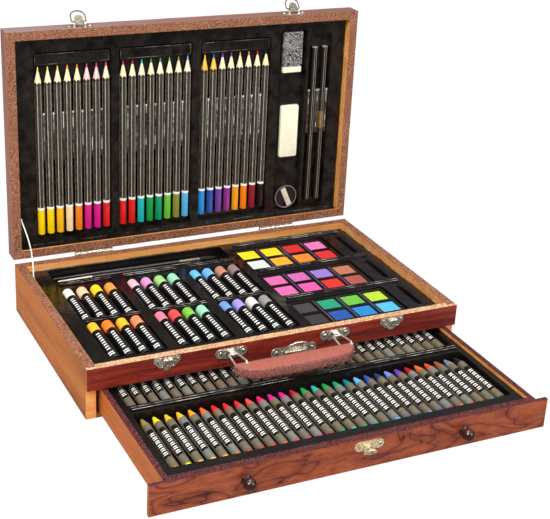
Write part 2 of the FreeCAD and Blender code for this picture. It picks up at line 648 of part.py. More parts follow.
def lid_tray():
    """Drawn face up about the tray's own surface and then turned over, so the X places are mirrored first."""
    columns = lid_columns()
    y0, y1 = lid_pocket_y()
    top = LID_TRAY_LOW
    floor = top - LID_POCKET_DEPTH
    axis = 2 * top - PENCIL_AXIS_Z
    pockets, additions = [], []
    start = y0 + PENCIL_CRADLE[0]
    for x in columns[:PENCIL_GROUPS]:
        pockets.append((-x - PENCIL_POCKET, -x, y0, y1, floor))
        centres = [-c for c in pencil_centres(x)]
        additions.append(comb(-x - PENCIL_POCKET + POCKET_DRAFT, -x - POCKET_DRAFT, start,
                              start + PENCIL_CRADLE[1], floor, axis + COMB_OVER_AXIS, centres, axis,
                              PENCIL_FLATS / 2 + REST_GAP))
        side, upper, near_points = STEP_MARGINS
        additions.append(block(-x - PENCIL_POCKET + side, -x - side, y0 + upper,
                               y0 + PENCIL_HEADROOM - near_points, floor, top - STEP_DROP))
    x = columns[3]
    pockets.append((-x - BLOCK_POCKET, -x, y0 - BLOCK_POCKET_EXTRA, y1, floor))
    x = columns[4]
    pockets.append((-x - STICK_POCKET, -x, y0, y1, floor))
    centres = [-c for c in stick_centres()]
    additions.append(comb(-x - STICK_POCKET + POCKET_DRAFT, -x - POCKET_DRAFT, start, start + PENCIL_CRADLE[1],
                          floor, axis + COMB_OVER_AXIS, centres, axis, STICK_RADIUS + REST_GAP))
    tray = moulded_tray(-LID_INNER_X + TRAY_PLAY, LID_INNER_X - TRAY_PLAY, -LID_INNER_Y + TRAY_PLAY,
                        LID_INNER_Y - TRAY_PLAY, top, pockets, additions)
    return opened(flipped(tray))


def pencil(x, y_tip, z):
    """Hexagonal pencil with its point towards -Y."""
    across = PENCIL_FLATS / math.sqrt(3)
    sections = [(y_tip, PENCIL_LEAD), (y_tip + PENCIL_CONE, across), (y_tip + PENCIL_LENGTH, across)]
    return stick(x, z, sections, 6)


def pencil_tip_y():
    """Points stand clear of the raised step at the pocket's end."""
    return lid_pocket_y()[0] + PENCIL_HEADROOM


def coloured_pencils():
    tip = pencil_tip_y()
    columns = lid_columns()[:PENCIL_GROUPS]
    return [opened(pencil(c, tip, PENCIL_AXIS_Z)) for x in columns for c in pencil_centres(x)]


def drawing_sticks():
    tip = pencil_tip_y()
    return [opened(rod_y(STICK_RADIUS, tip, tip + STICK_LENGTH, c, PENCIL_AXIS_Z)) for c in stick_centres()]


def lying_block(size, y0):
    """Block of the middle column, bedded on the pocket's floor."""
    width, length, thickness = size
    middle = lid_columns()[3] + BLOCK_POCKET / 2
    back = LID_CEILING - SHEET
    body = block(middle - width / 2, middle + width / 2, y0, y0 + length, back - thickness, back)
    return body.makeChamfer(BLOCK_CHAMFER, body.Edges)


def sharpener_parts():
    """Round sharpener on the pocket's floor, with its mouth towards the back and the blade on a slant."""
    radius = SHARPENER_RADIUS
    centre = Vector(lid_columns()[3] + BLOCK_POCKET / 2,
                    lid_pocket_y()[1] - POCKET_DRAFT - radius - SHARPENER_GAP,
                    LID_CEILING - SHEET)
    face = centre.z - SHARPENER_HEIGHT
    turns = [2 * math.pi * k / SHARPENER_SIDES for k in range(SHARPENER_SIDES)]
    rings = []
    for z in (centre.z, face):
        middle = Vector(centre.x, centre.y, z)
        rings.append([middle + Vector(math.cos(a), math.sin(a), 0) * radius for a in turns])
    body = faceted(rings)
    wide, narrow, deep = SHARPENER_MOUTH
    mouth = stick(centre.x, face + deep, [(centre.y + radius + 0.1, wide), (centre.y - radius, narrow)],
                  BRUSH_SIDES)
    width, length, thickness = SHARPENER_BLADE
    window = block(centre.x - width / 2 - 0.3, centre.x + width / 2 - 0.5, centre.y - length * 0.41,
                   centre.y + length * 0.41, face - BLADE_GAP, face + SHARPENER_SLOT)
    blade = block(centre.x - width / 2, centre.x + width / 2, centre.y - length / 2, centre.y + length / 2,
                  face - BLADE_GAP - thickness, face - BLADE_GAP)
    for shape in (window, blade):
        shape.rotate(centre, Vector(0, 0, 1), SHARPENER_TURN)
    head = Vector(centre.x, centre.y, face - BLADE_GAP - thickness)
    screw = Part.makeCylinder(SHARPENER_SCREW, thickness, head, Vector(0, 0, -1))
    body = body.cut([mouth, window])
    return {"sharpener_body": opened(body), "sharpener_blade": opened(fused([blade, screw]))}


# ---------------------------------------------------------------- drawer tray and its crayons
CRAYON_AXIS_Z = DRAWER_SIDE_TOP - CRAYON_AXIS_DROP
CRAYON_END_GAP = 1.0  # from a crayon's blunt end to the foot of its pocket
CRAYON_TIP_GAP = 2.0
CRAYON_SIDE_GAP = 2.5
CRAYON_UNDER = 0.5  # under a crayon, besides the rest gap
CRAYON_ROOM = CRAYON_LENGTH + 2 * POCKET_DRAFT + CRAYON_END_GAP + CRAYON_TIP_GAP
CRAYON_MARGIN = 13.0  # from the tray's edge to the first crayon's axis, at least
CRAYON_CRADLE = (23.0, 36.0)  # start of the cradle from a crayon's blunt end, and its length
TRAY_RIBS = (0.25, 0.5, 0.75)  # places of the tray's upright ribs, as shares of its width
DRAWER_TRAY_X0 = DRAWER_INNER_X0 + TRAY_PLAY
DRAWER_TRAY_X1 = DRAWER_INNER_X1 - TRAY_PLAY
DRAWER_TRAY_Y0 = DRAWER_INNER_Y0 + TRAY_PLAY
DRAWER_TRAY_Y1 = DRAWER_INNER_Y1 - TRAY_PLAY


def crayon_centres():
    room = DRAWER_TRAY_X1 - DRAWER_TRAY_X0 - 2 * CRAYON_MARGIN
    count = int(room / CRAYON_PITCH) + 1
    middle = (DRAWER_TRAY_X0 + DRAWER_TRAY_X1) / 2
    first = middle - (count - 1) * CRAYON_PITCH / 2
    return [first + k * CRAYON_PITCH for k in range(count)]


def crayon_rows():
    """Blunt ends of the front and back rows."""
    sizes = [CRAYON_ROOM, CRAYON_ROOM]
    starts = spread(DRAWER_TRAY_Y1 - DRAWER_TRAY_Y0, sizes, (0.413, 0.428, 0.159))
    return [DRAWER_TRAY_Y0 + s + POCKET_DRAFT + CRAYON_END_GAP for s in starts]


def drawer_tray():
    centres = crayon_centres()
    x0 = centres[0] - CRAYON_RADIUS - POCKET_DRAFT - CRAYON_SIDE_GAP
    x1 = centres[-1] + CRAYON_RADIUS + POCKET_DRAFT + CRAYON_SIDE_GAP
    floor = CRAYON_AXIS_Z - CRAYON_RADIUS - REST_GAP - CRAYON_UNDER
    pockets, additions = [], []
    for blunt in crayon_rows():
        y0 = blunt - POCKET_DRAFT - CRAYON_END_GAP
        pockets.append((x0, x1, y0, y0 + CRAYON_ROOM, floor))
        start = blunt + CRAYON_CRADLE[0]
        additions.append(comb(x0 + POCKET_DRAFT, x1 - POCKET_DRAFT, start, start + CRAYON_CRADLE[1], floor,
                              CRAYON_AXIS_Z + 0.4, centres, CRAYON_AXIS_Z, CRAYON_RADIUS + REST_GAP))
    divider = pockets[0][3] + (pockets[1][2] - pockets[0][3]) / 2
    additions.append(ridge(x0 + 2, x1 - 2, divider, DRAWER_TRAY_TOP))
    skirt = block(DRAWER_TRAY_X0, DRAWER_TRAY_X1, DRAWER_TRAY_Y0, DRAWER_TRAY_Y1,
                  DRAWER_FLOOR_TOP, DRAWER_TRAY_TOP)
    inside = block(DRAWER_TRAY_X0 + SHEET, DRAWER_TRAY_X1 - SHEET,
                   DRAWER_TRAY_Y0 + SHEET, DRAWER_TRAY_Y1 - SHEET, DRAWER_FLOOR_TOP, DRAWER_TRAY_TOP)
    additions.append(skirt.cut(inside))
    for share in TRAY_RIBS:
        x = DRAWER_TRAY_X0 + share * (DRAWER_TRAY_X1 - DRAWER_TRAY_X0)
        additions.append(block(x - SHEET / 2, x + SHEET / 2, DRAWER_TRAY_Y0, DRAWER_TRAY_Y1, DRAWER_FLOOR_TOP,
                               floor - SHEET / 2))
    return moulded_tray(DRAWER_TRAY_X0, DRAWER_TRAY_X1, DRAWER_TRAY_Y0, DRAWER_TRAY_Y1, DRAWER_TRAY_TOP,
                        pockets, additions)


def crayons(blunt):
    sections = [(blunt, CRAYON_RADIUS), (blunt + CRAYON_LENGTH - CRAYON_TIP, CRAYON_RADIUS),
                (blunt + CRAYON_LENGTH, CRAYON_POINT)]
    return [stick(x, CRAYON_AXIS_Z, sections, CRAYON_SIDES) for x in crayon_centres()]


# ---------------------------------------------------------------- hinges
def hinge_leaf(x_middle, up):
    """One leaf on the back faces, drawn shut: up is 1 for the lid's leaf and -1 for the base's."""
    half = HINGE_WIDTH / 2
    z_axis = BASE_HEIGHT
    near, far = HINGE_LEAF_START, HINGE_LEAF_START + HINGE_LEAF
    low, high = sorted((z_axis + up * near, z_axis + up * far))
    solids = [block(x_middle - half, x_middle + half, BACK_Y, BACK_Y + HINGE_LEAF_THICKNESS, low, high)]
    if up > 0:
        inner = half - HINGE_KNUCKLE - KNUCKLE_GAP
        spans = [(x_middle - inner, x_middle + inner)]
    else:
        spans = [(x_middle - half, x_middle - half + HINGE_KNUCKLE),
                 (x_middle + half - HINGE_KNUCKLE, x_middle + half)]
    holes = []
    for x0, x1 in spans:
        web_low, web_high = sorted((z_axis + up * near, z_axis + up * HINGE_BARREL))
        solids.append(block(x0, x1, BACK_Y, HINGE_Y, web_low, web_high))
        solids.append(rod_x(HINGE_BARREL, x0, x1, HINGE_Y, z_axis))
        holes.append(rod_x(HINGE_PIN + RUNNING, x0 - 1, x1 + 1, HINGE_Y, z_axis))
    return fused(solids).cut(holes)


# ---------------------------------------------------------------- latches (drawn shut, lever locked)
LATCH_AXIS_Y = FRONT_Y - LATCH_AXIS_OUT
LATCH_AXIS_Z = LID_RIM + LATCH_AXIS_RISE
EYE_Z = LATCH_AXIS_Z + LEVER_EYE_UP
LATCH_KNUCKLE = 1.8


def latch_plate(x):
    ears = stadium(LATCH_PLATE_HALF, LATCH_PLATE_EAR, PLATE, x, LID_RIM + LATCH_PLATE_RISE, FRONT_Y)
    low, high = LATCH_CROWN_RISE
    crown = block(x - LATCH_CROWN_HALF, x + LATCH_CROWN_HALF, FRONT_Y - PLATE, FRONT_Y,
                  LID_RIM + low, LID_RIM + high)
    solids = [ears, crown]
    holes = []
    for side in (-1, 1):
        inner = LEVER_HALF + KNUCKLE_GAP
        x0, x1 = sorted((x + side * inner, x + side * (inner + LATCH_KNUCKLE)))
        solids.append(rod_x(LATCH_BARREL, x0, x1, LATCH_AXIS_Y, LATCH_AXIS_Z))
        solids.append(block(x0, x1, LATCH_AXIS_Y, FRONT_Y, LATCH_AXIS_Z - LATCH_BARREL,
                            LATCH_AXIS_Z - LATCH_BARREL + PLATE))
        holes.append(rod_x(LATCH_PIN + RUNNING, x0 - 1, x1 + 1, LATCH_AXIS_Y, LATCH_AXIS_Z))
    return fused(solids).cut(holes)


def latch_pin(x):
    half = LEVER_HALF + KNUCKLE_GAP + LATCH_KNUCKLE
    return rod_x(LATCH_PIN, x - half, x + half, LATCH_AXIS_Y, LATCH_AXIS_Z)


def swung_out(shape):
    """From locked to the lever's resting angle, about the latch's pin."""
    turned = shape.copy()
    turned.rotate(Vector(0, LATCH_AXIS_Y, LATCH_AXIS_Z), Vector(1, 0, 0), LEVER_REST)
    return turned


def latch_lever(x):
    outer = LATCH_AXIS_Y - LATCH_BARREL
    barrel = rod_x(LATCH_BARREL, x - LEVER_HALF, x + LEVER_HALF, LATCH_AXIS_Y, LATCH_AXIS_Z)
    eye = rod_x(LEVER_EYE_RADIUS, x - LEVER_HALF, x + LEVER_HALF, LATCH_AXIS_Y, EYE_Z)
    straight = LEVER_REACH - LEVER_HALF
    tab = block(x - LEVER_HALF, x + LEVER_HALF, outer, outer + PLATE, LATCH_AXIS_Z, LATCH_AXIS_Z + straight)
    end = rod_y(LEVER_HALF, outer, outer + PLATE, x, LATCH_AXIS_Z + straight)
    lever = fused([barrel, eye, tab, end])
    holes = [rod_x(LATCH_PIN + RUNNING, x - LEVER_HALF - 1, x + LEVER_HALF + 1, LATCH_AXIS_Y, LATCH_AXIS_Z),
             rod_x(BAIL_WIRE + RUNNING, x - LEVER_HALF - 1, x + LEVER_HALF + 1, LATCH_AXIS_Y, EYE_Z)]
    return opened(swung_out(lever.cut(holes)))


def latch_bail(x):
    y = LATCH_AXIS_Y
    tip = EYE_Z + BAIL_LENGTH
    shoulder = EYE_Z + BAIL_LENGTH * 0.6
    half = BAIL_HALF
    outline = [(-1.2, EYE_Z), (-half, EYE_Z), (-half, shoulder), (-half * 0.5, tip), (half * 0.5, tip),
               (half, shoulder), (half, EYE_Z), (1.2, EYE_Z)]
    points = [Vector(x + dx, y, z) for dx, z in outline]
    return opened(swung_out(bent_wire(points, BAIL_WIRE)))


def latch_keeper(x):
    """Half-oval plate under the base's rim with a curled lip for the bail."""
    top = BASE_HEIGHT - 0.6
    centre = Vector(x, FRONT_Y, top)
    oval = Part.Ellipse(centre - Vector(0, 0, KEEPER_HEIGHT), centre + Vector(KEEPER_WIDTH / 2, 0, 0), centre)
    plate = Part.Face(Part.Wire([oval.toShape()])).extrude(Vector(0, -PLATE, 0))
    below = block(x - KEEPER_WIDTH, x + KEEPER_WIDTH, FRONT_Y - PLATE, FRONT_Y, top - 2 * KEEPER_HEIGHT, top)
    lip_y, lip_z = FRONT_Y - KEEPER_LIP_OUT, top - KEEPER_LIP_DROP
    lip = rod_x(KEEPER_LIP, x - LEVER_HALF, x + LEVER_HALF, lip_y, lip_z)
    web = block(x - LEVER_HALF, x + LEVER_HALF, lip_y, FRONT_Y, lip_z + KEEPER_LIP - PLATE, lip_z + KEEPER_LIP)
    return fused([plate.common(below), lip, web])


# ---------------------------------------------------------------- carrying handle
HANDLE_AXIS_Y = FRONT_Y - HANDLE_AXIS_OUT


def handle_bracket(x):
    ears = stadium(BRACKET_HALF, BRACKET_EAR, PLATE, x, HANDLE_AXIS_Z, FRONT_Y)
    strap = block(x - BRACKET_STRAP, x + BRACKET_STRAP, FRONT_Y - PLATE, FRONT_Y,
                  HANDLE_AXIS_Z - BRACKET_STRAP + 1, HANDLE_AXIS_Z + BRACKET_EAR)
    loop = rod_x(BRACKET_LOOP, x - BRACKET_LOOP_HALF, x + BRACKET_LOOP_HALF, HANDLE_AXIS_Y, HANDLE_AXIS_Z)
    web = block(x - BRACKET_LOOP_HALF, x + BRACKET_LOOP_HALF, HANDLE_AXIS_Y, FRONT_Y,
                HANDLE_AXIS_Z + BRACKET_LOOP - PLATE, HANDLE_AXIS_Z + BRACKET_LOOP)
    hole = rod_x(HANDLE_WIRE + RUNNING, x - BRACKET_HALF, x + BRACKET_HALF, HANDLE_AXIS_Y, HANDLE_AXIS_Z)
    return fused([ears, strap, loop, web]).cut(hole)


def handle_wire_points(x):
    """Lower leg's end in the grip, the turn in the bracket's loop, and the upper leg into the grip's top."""
    back = FRONT_Y - GRIP_IN
    left, right = x - HANDLE_LEG, x + HANDLE_LEG
    over = Vector(right, back - WIRE_FROM_EDGE, GRIP_TOP + WIRE_OVER_GRIP)
    return [
        Vector(left, back - WIRE_IN_GRIP, GRIP_TOP - GRIP_THICKNESS / 2 + 1),
        Vector(left, HANDLE_AXIS_Y, HANDLE_AXIS_Z),
        Vector(right, HANDLE_AXIS_Y, HANDLE_AXIS_Z),
        over,
        over - Vector(0, 0, WIRE_OVER_GRIP + WIRE_IN_GRIP),
    ]


def handle_wire(x):
    return bent_wire(handle_wire_points(x), HANDLE_WIRE)


def arc_points(start, middle, end):
    """Points of an arc in short steps, without its start."""
    edge = Part.Arc(start, middle, end).toShape()
    return edge.discretize(GRIP_ARC_STEPS + 1)[1:]


def handle_grip():
    back = FRONT_Y - GRIP_IN
    front = FRONT_Y - GRIP_OUT
    low = GRIP_TOP - GRIP_THICKNESS
    side = GRIP_CORNER
    right = [Vector(GRIP_HALF, back - 3, low), Vector(GRIP_HALF - side * 0.32, front + side * 0.48, low),
             Vector(GRIP_HALF - side, front + GRIP_BOW, low)]
    left = [Vector(-p.x, p.y, p.z) for p in reversed(right)]
    outline = [Vector(-GRIP_HALF, back, low), Vector(GRIP_HALF, back, low), right[0]]
    outline += arc_points(*right)
    outline += arc_points(right[-1], Vector(0, front, low), left[0])
    outline += arc_points(*left)
    grip = Part.Face(Part.makePolygon(outline + outline[:1])).extrude(Vector(0, 0, GRIP_THICKNESS))
    level = [e for e in grip.Edges if abs(e.BoundBox.ZMax - e.BoundBox.ZMin) < 1e-3]
    grip = grip.makeChamfer(GRIP_ROUND, level)
    holes = []
    for x in (-BRACKET_X, BRACKET_X):
        points = handle_wire_points(x)
        for end, start in (points[:2], (points[-1], points[-2])):
            past = (end - start).normalize() * 0.2
            holes.append(rod(HANDLE_WIRE + RUNNING, start, end + past))
    return grip.cut(holes)


# ---------------------------------------------------------------- hasp on the rail and catch on the drawer
HASP_AXIS_Y = FRONT_Y - HASP_AXIS_OUT


def hasp_plate():
    plate = stadium(HASP_HALF, HASP_EAR, PLATE, HASP_X, HASP_Z, FRONT_Y)
    boss = rod_y(HASP_EAR * 0.7, FRONT_Y - 2 * PLATE, FRONT_Y, HASP_X, HASP_Z)
    loop = rod_x(HASP_LOOP, HASP_X - HASP_LOOP_HALF, HASP_X + HASP_LOOP_HALF, HASP_AXIS_Y, HASP_Z)
    web = block(HASP_X - HASP_LOOP_HALF, HASP_X + HASP_LOOP_HALF, HASP_AXIS_Y, FRONT_Y,
                HASP_Z - HASP_LOOP, HASP_Z - HASP_LOOP + PLATE)
    hole = rod_x(HASP_WIRE + RUNNING, HASP_X - HASP_HALF, HASP_X + HASP_HALF, HASP_AXIS_Y, HASP_Z)
    return fused([plate, boss, loop, web]).cut(hole)


def hasp_ring():
    y = HASP_AXIS_Y
    stub = HASP_LOOP_HALF - 0.5
    far = y - HASP_REACH
    half, shoulder = HASP_RING_HALF, y - HASP_REACH * 0.45
    points = [(-stub, y), (-half, y), (-half, shoulder), (-half * 0.5, far), (half * 0.5, far),
              (half, shoulder), (half, y), (stub, y)]
    points = [Vector(HASP_X + dx, py, HASP_Z) for dx, py in points]
    ring = bent_wire(points, HASP_WIRE)
    ring.rotate(Vector(0, y, HASP_Z), Vector(1, 0, 0), -HASP_REST)
    return ring


def catch_plate():
    plate = stadium(CATCH_HALF, CATCH_EAR, PLATE, CATCH_X, CATCH_Z, DRAWER_FACE_Y)
    tongue = block(CATCH_X - CATCH_EAR, CATCH_X + CATCH_EAR, DRAWER_FACE_Y - PLATE, DRAWER_FACE_Y,
                   CATCH_Z - CATCH_TONGUE, CATCH_Z)
    boss = rod_y(CATCH_EAR * 0.8, DRAWER_FACE_Y - 2 * PLATE, DRAWER_FACE_Y, CATCH_X, CATCH_STUD_Z)
    hole = rod_y(CATCH_STUD + RUNNING, DRAWER_FACE_Y - 3 * PLATE, DRAWER_FACE_Y - 0.2, CATCH_X, CATCH_STUD_Z)
    return fused([plate, tongue, boss]).cut(hole)


def catch_turn():
    """Stud that turns in the catch plate, with an oblong wing at its end."""
    back = DRAWER_FACE_Y - PLATE / 2
    stud = rod_y(CATCH_STUD, DRAWER_FACE_Y - CATCH_REACH, back, CATCH_X, CATCH_STUD_Z)
    wing_back = DRAWER_FACE_Y - CATCH_REACH + CATCH_WING_THICKNESS
    wing = stadium(CATCH_WING, CATCH_WING * 0.42, CATCH_WING_THICKNESS, CATCH_X, CATCH_STUD_Z, wing_back)
    return fused([stud, wing])


def drawer_knob(x):
    """Flange, neck and ball, turned about an axis along Y."""
    face = DRAWER_FACE_Y
    neck = KNOB_RADIUS * KNOB_NECK
    sections = [(face, KNOB_FLANGE), (face - KNOB_FLANGE_THICKNESS, KNOB_FLANGE),
                (face - KNOB_FLANGE_THICKNESS - 0.8, neck)]
    for turn in range(-60, 81, 20):
        angle = math.radians(turn)
        sections.append((face - KNOB_REACH - KNOB_RADIUS * math.sin(angle), KNOB_RADIUS * math.cos(angle)))
    return stick(x, KNOB_Z, sections, KNOB_SIDES)


# ---------------------------------------------------------------- lid stay
CORD_WALL_GAP = 0.3
CORD_X = INNER_X - CORD_RADIUS - CORD_WALL_GAP
LID_KNOT_CLOSED = Vector(-LID_INNER_X + KNOT_RADIUS, CORD_LID_Y, LID_RIM + CORD_LID_RISE)
BASE_KNOT = Vector(-INNER_X + KNOT_RADIUS, CORD_BASE_Y, BASE_HEIGHT - CORD_BASE_DROP)


def cord_points():
    """Route from the base's knot to the lid's knot with the lid open; the middle hangs towards the inside."""
    base = BASE_KNOT
    lid = opened(Part.Vertex(LID_KNOT_CLOSED)).Point
    rise = KNOT_RADIUS + CORD_WALL_GAP
    start = Vector(-CORD_X, base.y + 0.7 * rise, base.z + rise)
    end = Vector(-CORD_X, lid.y - 0.6 * rise, lid.z - rise)
    points = [start]
    for share, inward, sag in CORD_SAG:
        straight = start + (end - start) * share
        points.append(straight + Vector(inward, sag, -sag))
    return points + [end]


def cord_radii(points):
    """Bend radius at each inner point: a share of the shorter run, over the tangent of half the turn."""
    radii = []
    for before, corner, after in zip(points, points[1:], points[2:]):
        shorter = min((corner - before).Length, (after - corner).Length)
        half_turn = (corner - before).getAngle(after - corner) / 2
        radii.append(0.45 * shorter / math.tan(half_turn))
    return radii


def lid_stay_cord():
    points = cord_points()
    radii = cord_radii(points)
    runs = [(b - a).Length for a, b in zip(points, points[1:])]
    print("stay cord points", [tuple(round(v, 2) for v in p) for p in points])
    print("stay cord runs", [round(r, 1) for r in runs], "radii", [round(r, 1) for r in radii])
    route = rounded_route(points, radii, CORD_BEND_STEPS)
    print("stay cord length", round(sum((b - a).Length for a, b in zip(route, route[1:])), 1))
    return bent_wire(route, CORD_RADIUS)


# ---------------------------------------------------------------- write
def export(name, shape):
    solids = shape if isinstance(shape, list) else [shape]
    out = solids[0] if len(solids) == 1 else Part.makeCompound(solids)
    out.exportStep(os.path.join("parts", name + ".step"))


def supplies():
    bar_front = lid_pocket_y()[0] - BLOCK_POCKET_EXTRA + POCKET_DRAFT + BAR_GAP
    front_row, back_row = crayon_rows()
    parts = {
        "base_tray": base_tray(),
        "lid_tray": lid_tray(),
        "drawer_tray": drawer_tray(),
        "coloured_pencils": coloured_pencils(),
        "drawing_sticks": drawing_sticks(),
        "eraser": opened(lying_block(ERASER, ERASER_Y)),
        "wrapped_bar": opened(lying_block(WRAPPED_BAR, bar_front)),
        "oil_pastels": oil_pastels(),
        "paint_pans": paint_pans(),
        "paint_brushes": paint_brushes(),
        "front_crayons": crayons(front_row),
        "back_crayons": crayons(back_row),
    }
    for name, place in zip(("palette_front", "palette_middle", "palette_back"), palette_places()):
        parts[name] = palette(*place)
    parts.update(sharpener_parts())
    return parts


def metalwork():
    pins = [rod_x(HINGE_PIN, x - HINGE_WIDTH / 2, x + HINGE_WIDTH / 2, HINGE_Y, BASE_HEIGHT)
            for x in (-HINGE_X, HINGE_X)]
    parts = {
        "hinge_leaves_base": [hinge_leaf(x, -1) for x in (-HINGE_X, HINGE_X)],
        "hinge_leaves_lid": [opened(hinge_leaf(x, 1)) for x in (-HINGE_X, HINGE_X)],
        "hinge_pins": pins,
        "latch_plates": [opened(latch_plate(x)) for x in (-LATCH_X, LATCH_X)],
        "latch_pins": [opened(latch_pin(x)) for x in (-LATCH_X, LATCH_X)],
        "left_latch_lever": latch_lever(-LATCH_X),
        "right_latch_lever": latch_lever(LATCH_X),
        "left_latch_bail": latch_bail(-LATCH_X),
        "right_latch_bail": latch_bail(LATCH_X),
        "latch_keepers": [latch_keeper(x) for x in (-LATCH_X, LATCH_X)],
        "handle_brackets": [handle_bracket(x) for x in (-BRACKET_X, BRACKET_X)],
        "handle_wires": [handle_wire(x) for x in (-BRACKET_X, BRACKET_X)],
        "handle_grip": handle_grip(),
        "hasp_plate": hasp_plate(),
        "hasp_ring": hasp_ring(),
        "catch_plate": catch_plate(),
        "catch_turn": catch_turn(),
        "drawer_knobs": [drawer_knob(x) for x in KNOB_PLACES],
        "lid_stay_cord": lid_stay_cord(),
    }
    return parts


os.makedirs("parts", exist_ok=True)
for group in (case_parts(), drawer_parts(), lid_parts(), supplies(), metalwork()):
    for node, shape in group.items():
        export(node, shape)
latch = opened(Part.Vertex(Vector(0, LATCH_AXIS_Y, LATCH_AXIS_Z))).Point
eye = opened(swung_out(Part.Vertex(Vector(0, LATCH_AXIS_Y, EYE_Z)))).Point
print("lid axis", HINGE_Y, BASE_HEIGHT, "latch axis", round(latch.y, 3), round(latch.z, 3))
print("bail axis", round(eye.y, 3), round(eye.z, 3), "handle axis", HANDLE_AXIS_Y, HANDLE_AXIS_Z)
print("ring axis", HASP_AXIS_Y, HASP_Z, "catch axis", CATCH_X, CATCH_STUD_Z)
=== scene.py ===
from math import cos, inf, pi, radians, sin, tan

import bpy
from mathutils import Matrix, Vector


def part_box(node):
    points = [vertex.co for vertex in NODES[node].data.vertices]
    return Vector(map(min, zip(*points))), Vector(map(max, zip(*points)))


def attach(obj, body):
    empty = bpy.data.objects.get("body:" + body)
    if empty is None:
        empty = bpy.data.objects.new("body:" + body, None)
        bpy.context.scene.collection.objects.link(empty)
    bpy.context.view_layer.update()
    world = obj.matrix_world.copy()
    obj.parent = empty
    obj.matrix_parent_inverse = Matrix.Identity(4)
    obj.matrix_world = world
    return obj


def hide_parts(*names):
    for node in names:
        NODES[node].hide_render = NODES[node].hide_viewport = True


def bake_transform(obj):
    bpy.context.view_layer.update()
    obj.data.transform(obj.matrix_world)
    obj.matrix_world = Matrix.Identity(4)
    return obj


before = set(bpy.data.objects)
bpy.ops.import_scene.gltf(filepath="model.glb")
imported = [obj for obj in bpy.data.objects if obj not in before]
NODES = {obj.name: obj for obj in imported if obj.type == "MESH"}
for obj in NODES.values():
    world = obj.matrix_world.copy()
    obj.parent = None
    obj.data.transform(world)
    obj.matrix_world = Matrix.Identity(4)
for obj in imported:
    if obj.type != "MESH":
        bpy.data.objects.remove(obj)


def save_size():
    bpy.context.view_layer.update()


save_size()


# ---- places in mm, the lid's with the lid shut
MM = 0.001
X, Y, Z = Vector((1, 0, 0)), Vector((0, 1, 0)), Vector((0, 0, 1))
HERE = Matrix.Identity(4)
FRONT = -118  # face of the front rail
DRAWER_FACE = -273
HINGE_FACE = 119  # outer face of the hinge leaves
LID_AXIS = (121, 52.6)  # y and z
LID_ANGLE = -90.7
PLATE = 0.8  # thickness of the fittings' plates
LATCH_XS = (-117, 117)
LATCH_OUT = 2.7  # of a latch's axis before the rail
LATCH_AXIS_Z = 58.3
LATCH_EYE_Z = 61.3
LEVER_LEAN = 50  # degrees by which a lever stands out
BRACKET_XS = (-54, 54)
HANDLE_AXIS = (-122.6, 45)
HINGE_XS = (-106.3, 106.3)
HASP_X, HASP_Z = 11, 35.4
HASP_OUT = 2.8
RING_LEAN = -60
CATCH_X, CATCH_Z = 6.7, 23.4
KNOB_XS = (-107.5, 103.5)
KNOB_Z = 15.6


def swing(y, z, degrees):
    """Turn about the line along X through y and z."""
    pivot = Vector((0, y, z)) * MM
    turn = Matrix.Rotation(radians(degrees), 4, "X")
    return Matrix.Translation(pivot) @ turn @ Matrix.Translation(-pivot)


OPEN = swing(*LID_AXIS, LID_ANGLE)
SHUT = OPEN.inverted()


# ---- shader tools
def rgb(code, factor=1):
    """Linear colour of a hex code, made darker or lighter by the factor."""
    parts = [int(code[i:i + 2], 16) / 255 for i in (0, 2, 4)]
    linear = [p / 12.92 if p <= 0.04045 else ((p + 0.055) / 1.055) ** 2.4 for p in parts]
    return tuple(min(1, c * factor) for c in linear) + (1,)


def grey(value):
    return (value, value, value, 1)


WHITE = grey(1)
EVEN = (1, 1, 1)


class Tree:
    """Shader nodes of a material or a world."""

    def __init__(self, owner):
        owner.use_nodes = True
        self.nodes, self.links = owner.node_tree.nodes, owner.node_tree.links

    def feed(self, node, inputs):
        """An input that is another node's output is linked, and any other value is set."""
        for key, value in inputs.items():
            if isinstance(value, bpy.types.NodeSocket):
                self.links.new(value, node.inputs[key])
            else:
                node.inputs[key].default_value = value

    def add(self, kind, inputs=None, **settings):
        node = self.nodes.new("ShaderNode" + kind)
        for key, value in settings.items():
            setattr(node, key, value)
        self.feed(node, inputs or {})
        return node

    def ramp(self, fac, stops):
        node = self.add("ValToRGB", {"Fac": fac})
        elements = node.color_ramp.elements
        elements[0].position, elements[0].color = stops[0]
        elements[1].position, elements[1].color = stops[-1]
        for position, colour in stops[1:-1]:
            elements.new(position).color = colour
        return node.outputs["Color"]

    def choose(self, fac, first, second):
        """The first shader where fac is 0 and the second where it is 1."""
        return self.add("MixShader", {"Fac": fac, 1: first, 2: second}).outputs["Shader"]


